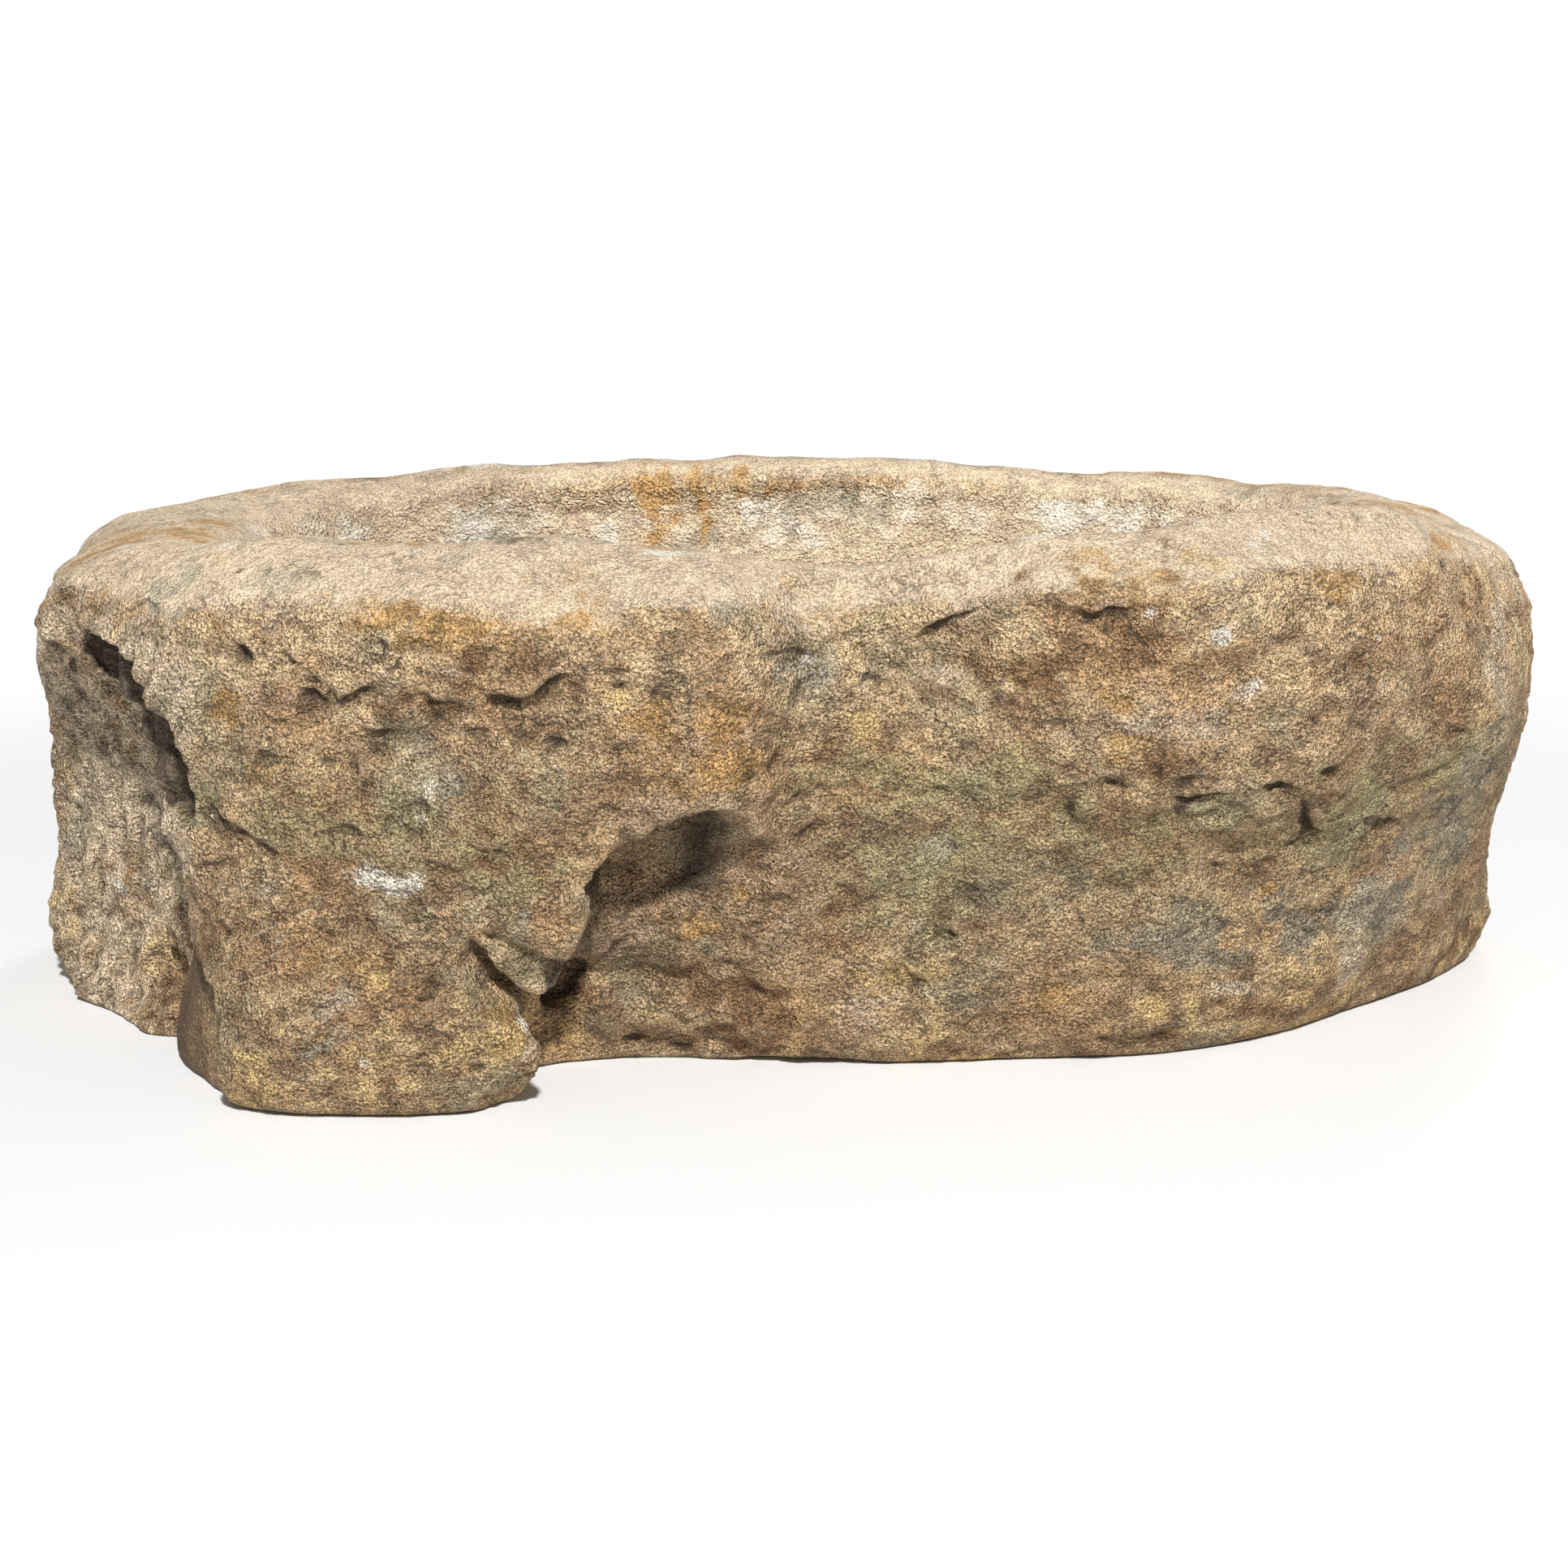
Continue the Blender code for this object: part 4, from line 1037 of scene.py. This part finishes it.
    # Dirt with painted shade and shadow under the ledges and flakes, in the cracks and in the pits
    n.paint(n.between(n.times_plus(patch, 0.5, n.share("dirt_and_shade")), 0.5, 1.15, 0, 0.85), SHADOW_BROWN)

    # Heights in millimetres
    layers = n.times(n.times(n.times(layer, n.falls(layer, 0.86, 1)), layered), 3)
    fine = n.times_plus(patch, 18, n.times_plus(n.cells(place, 340), -1.3, n.times(grain, 8)))
    relief = n.times_plus(hairline, -1.5, n.times(n.math("ADD", fine, layers), rough))
    step = n.times(n.between(aside, -0.8, 0.8), n.falls(aside, 3, 9))
    relief = n.times_plus(n.times(step, force), -4, relief)

    n.put(shader.inputs["Base Color"], n.colour)
    n.put(shader.inputs["Roughness"], n.between(grain, 0.3, 0.7, 0.98, 0.86))
    n.put(shader.inputs["Specular IOR Level"], 0.25)
    n.put(shader.inputs["Normal"], n.bump(relief, MM))
    return material


def painted_light_places(points, normals):
    """Where the colour is lightened as painted light: the back wall of the basin, the right end and the rim's left
    end.
    """
    x, y, z = points.T
    back_wall = smooth(-0.05 - normals[:, 1], 0.4) * smooth(y - 0.08, 0.06) * smooth(z - 0.25, 0.08)
    back_wall *= smooth(x + 0.26, 0.05)
    right_end = 0.5 * smooth(x - 0.5, 0.06) * smooth(z - 0.2, 0.06)
    left_rim = 0.6 * smooth(1.4 - np.sqrt(((x + 0.441) / 0.09) ** 2 + ((y + 0.17) / 0.1) ** 2))
    return np.maximum(np.maximum(back_wall, right_end), left_rim * smooth(z - 0.33, 0.04))


def build_stone():
    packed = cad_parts["stone_trough"]
    stone = add_object("weathered_stone", packed.data.copy())
    points, normals, part, shares = work_finely(stone, *work_roughly(stone))
    upper = smooth(points[:, 2] - 0.22 + 0.03 * noise(points, 160, 150), 0.14)
    shares.update(
        stain_shares(points, part),
        calm=np.maximum(np.maximum(part.top, part.heel), 0.9 * part.inside),
        layered=smooth(fractal(points, 90, 2, 140) + 0.2, 0.5),
        upper=np.maximum(upper, part.inside),
        bleached=painted_light_places(points, normals),
    )
    set_shares(stone, shares)
    thin_out(stone)
    stone.data.materials.clear()
    stone.data.materials.append(sandstone())
    stone.data.shade_smooth()
    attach(stone, "root")
    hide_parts("stone_trough")


# The floor reaches this far to each side, and goes over into white between these distances from the stone's middle.
FLOOR_REACH = 14.0
FLOOR_GREY = (0.86, 0.86, 0.86, 1)
WHITE_FROM, WHITE_AT = 0.9, 1.7
WHITE = (1, 1, 1, 1)


def build_floor():
    """A pale floor that takes the shadow near the stone and goes over into the white round it."""
    data = bpy.data.meshes.new("floor")
    corners = [(x * FLOOR_REACH, y * FLOOR_REACH, 0) for x, y in ((-1, -1), (1, -1), (1, 1), (-1, 1))]
    data.from_pydata(corners, [], [(0, 1, 2, 3)])
    floor = add_object("floor", data)
    material, n, shader = new_material("pale_floor")
    for name, value in (("Base Color", FLOOR_GREY), ("Roughness", 0.95), ("Specular IOR Level", 0)):
        n.put(shader.inputs[name], value)
    white = n.add("ShaderNodeEmission")
    n.put(white.inputs["Color"], WHITE)
    length = n.add("ShaderNodeVectorMath", operation="LENGTH")
    n.put(length.inputs[0], n.add("ShaderNodeNewGeometry").outputs["Position"])
    far = n.between(length.outputs["Value"], WHITE_FROM, WHITE_AT)
    n.blend(n.times(far, n.seen()), shader, white, "Material Output")
    data.materials.append(material)


SKY = 0.24
LAMP_DISTANCE = 8.0
LAMPS_AIM = (0, 0, 0.2)
# (name, strength, width in metres, degrees from the front towards the right, degrees above the ground)
LAMPS = (("key", 1.17, 0.6, 6, 45), ("fill", 0.3, 3.0, 158, 22))


def light_scene():
    """A grey sky that is seen as white, and far round lamps."""
    world = bpy.data.worlds.new("studio")
    bpy.context.scene.world = world
    world.use_nodes = True
    n = Nodes(world.node_tree)
    dim, white = world.node_tree.nodes["Background"], n.add("ShaderNodeBackground")
    for background, strength in ((dim, SKY), (white, 1.0)):
        n.put(background.inputs["Color"], WHITE)
        n.put(background.inputs["Strength"], strength)
    n.blend(n.seen(), dim, white, "World Output")
    for name, strength, width, azimuth, height in LAMPS:
        lamp = bpy.data.lights.new(name, "AREA")
        lamp.shape = "DISK"
        lamp.size = width
        lamp.energy = strength * math.pi**2 * LAMP_DISTANCE**2
        azimuth, height = math.radians(azimuth), math.radians(height)
        level = math.cos(height)
        towards = Vector((math.sin(azimuth) * level, -math.cos(azimuth) * level, math.sin(height)))
        lamp_object = add_object(name, lamp)
        lamp_object.location = Vector(LAMPS_AIM) + towards * LAMP_DISTANCE
        lamp_object.rotation_euler = towards.to_track_quat("Z", "Y").to_euler()


# The photograph's own angle: the lens in millimetres, the place in metres and the degrees that it looks down
LENS, SENSOR = 53.37, 36
CAMERA_PLACE = (0, -1.949533, 0.647088)
CAMERA_TILT = 13.8341


def place_camera():
    camera = add_object("camera", bpy.data.cameras.new("camera"))
    camera.data.sensor_width = SENSOR
    camera.data.lens = LENS
    camera.location = CAMERA_PLACE
    camera.rotation_euler = (math.radians(90 - CAMERA_TILT), 0, 0)
    bpy.context.scene.camera = camera


build_stone()
build_floor()
light_scene()
place_camera()
bpy.context.scene.view_settings.view_transform = "Standard"
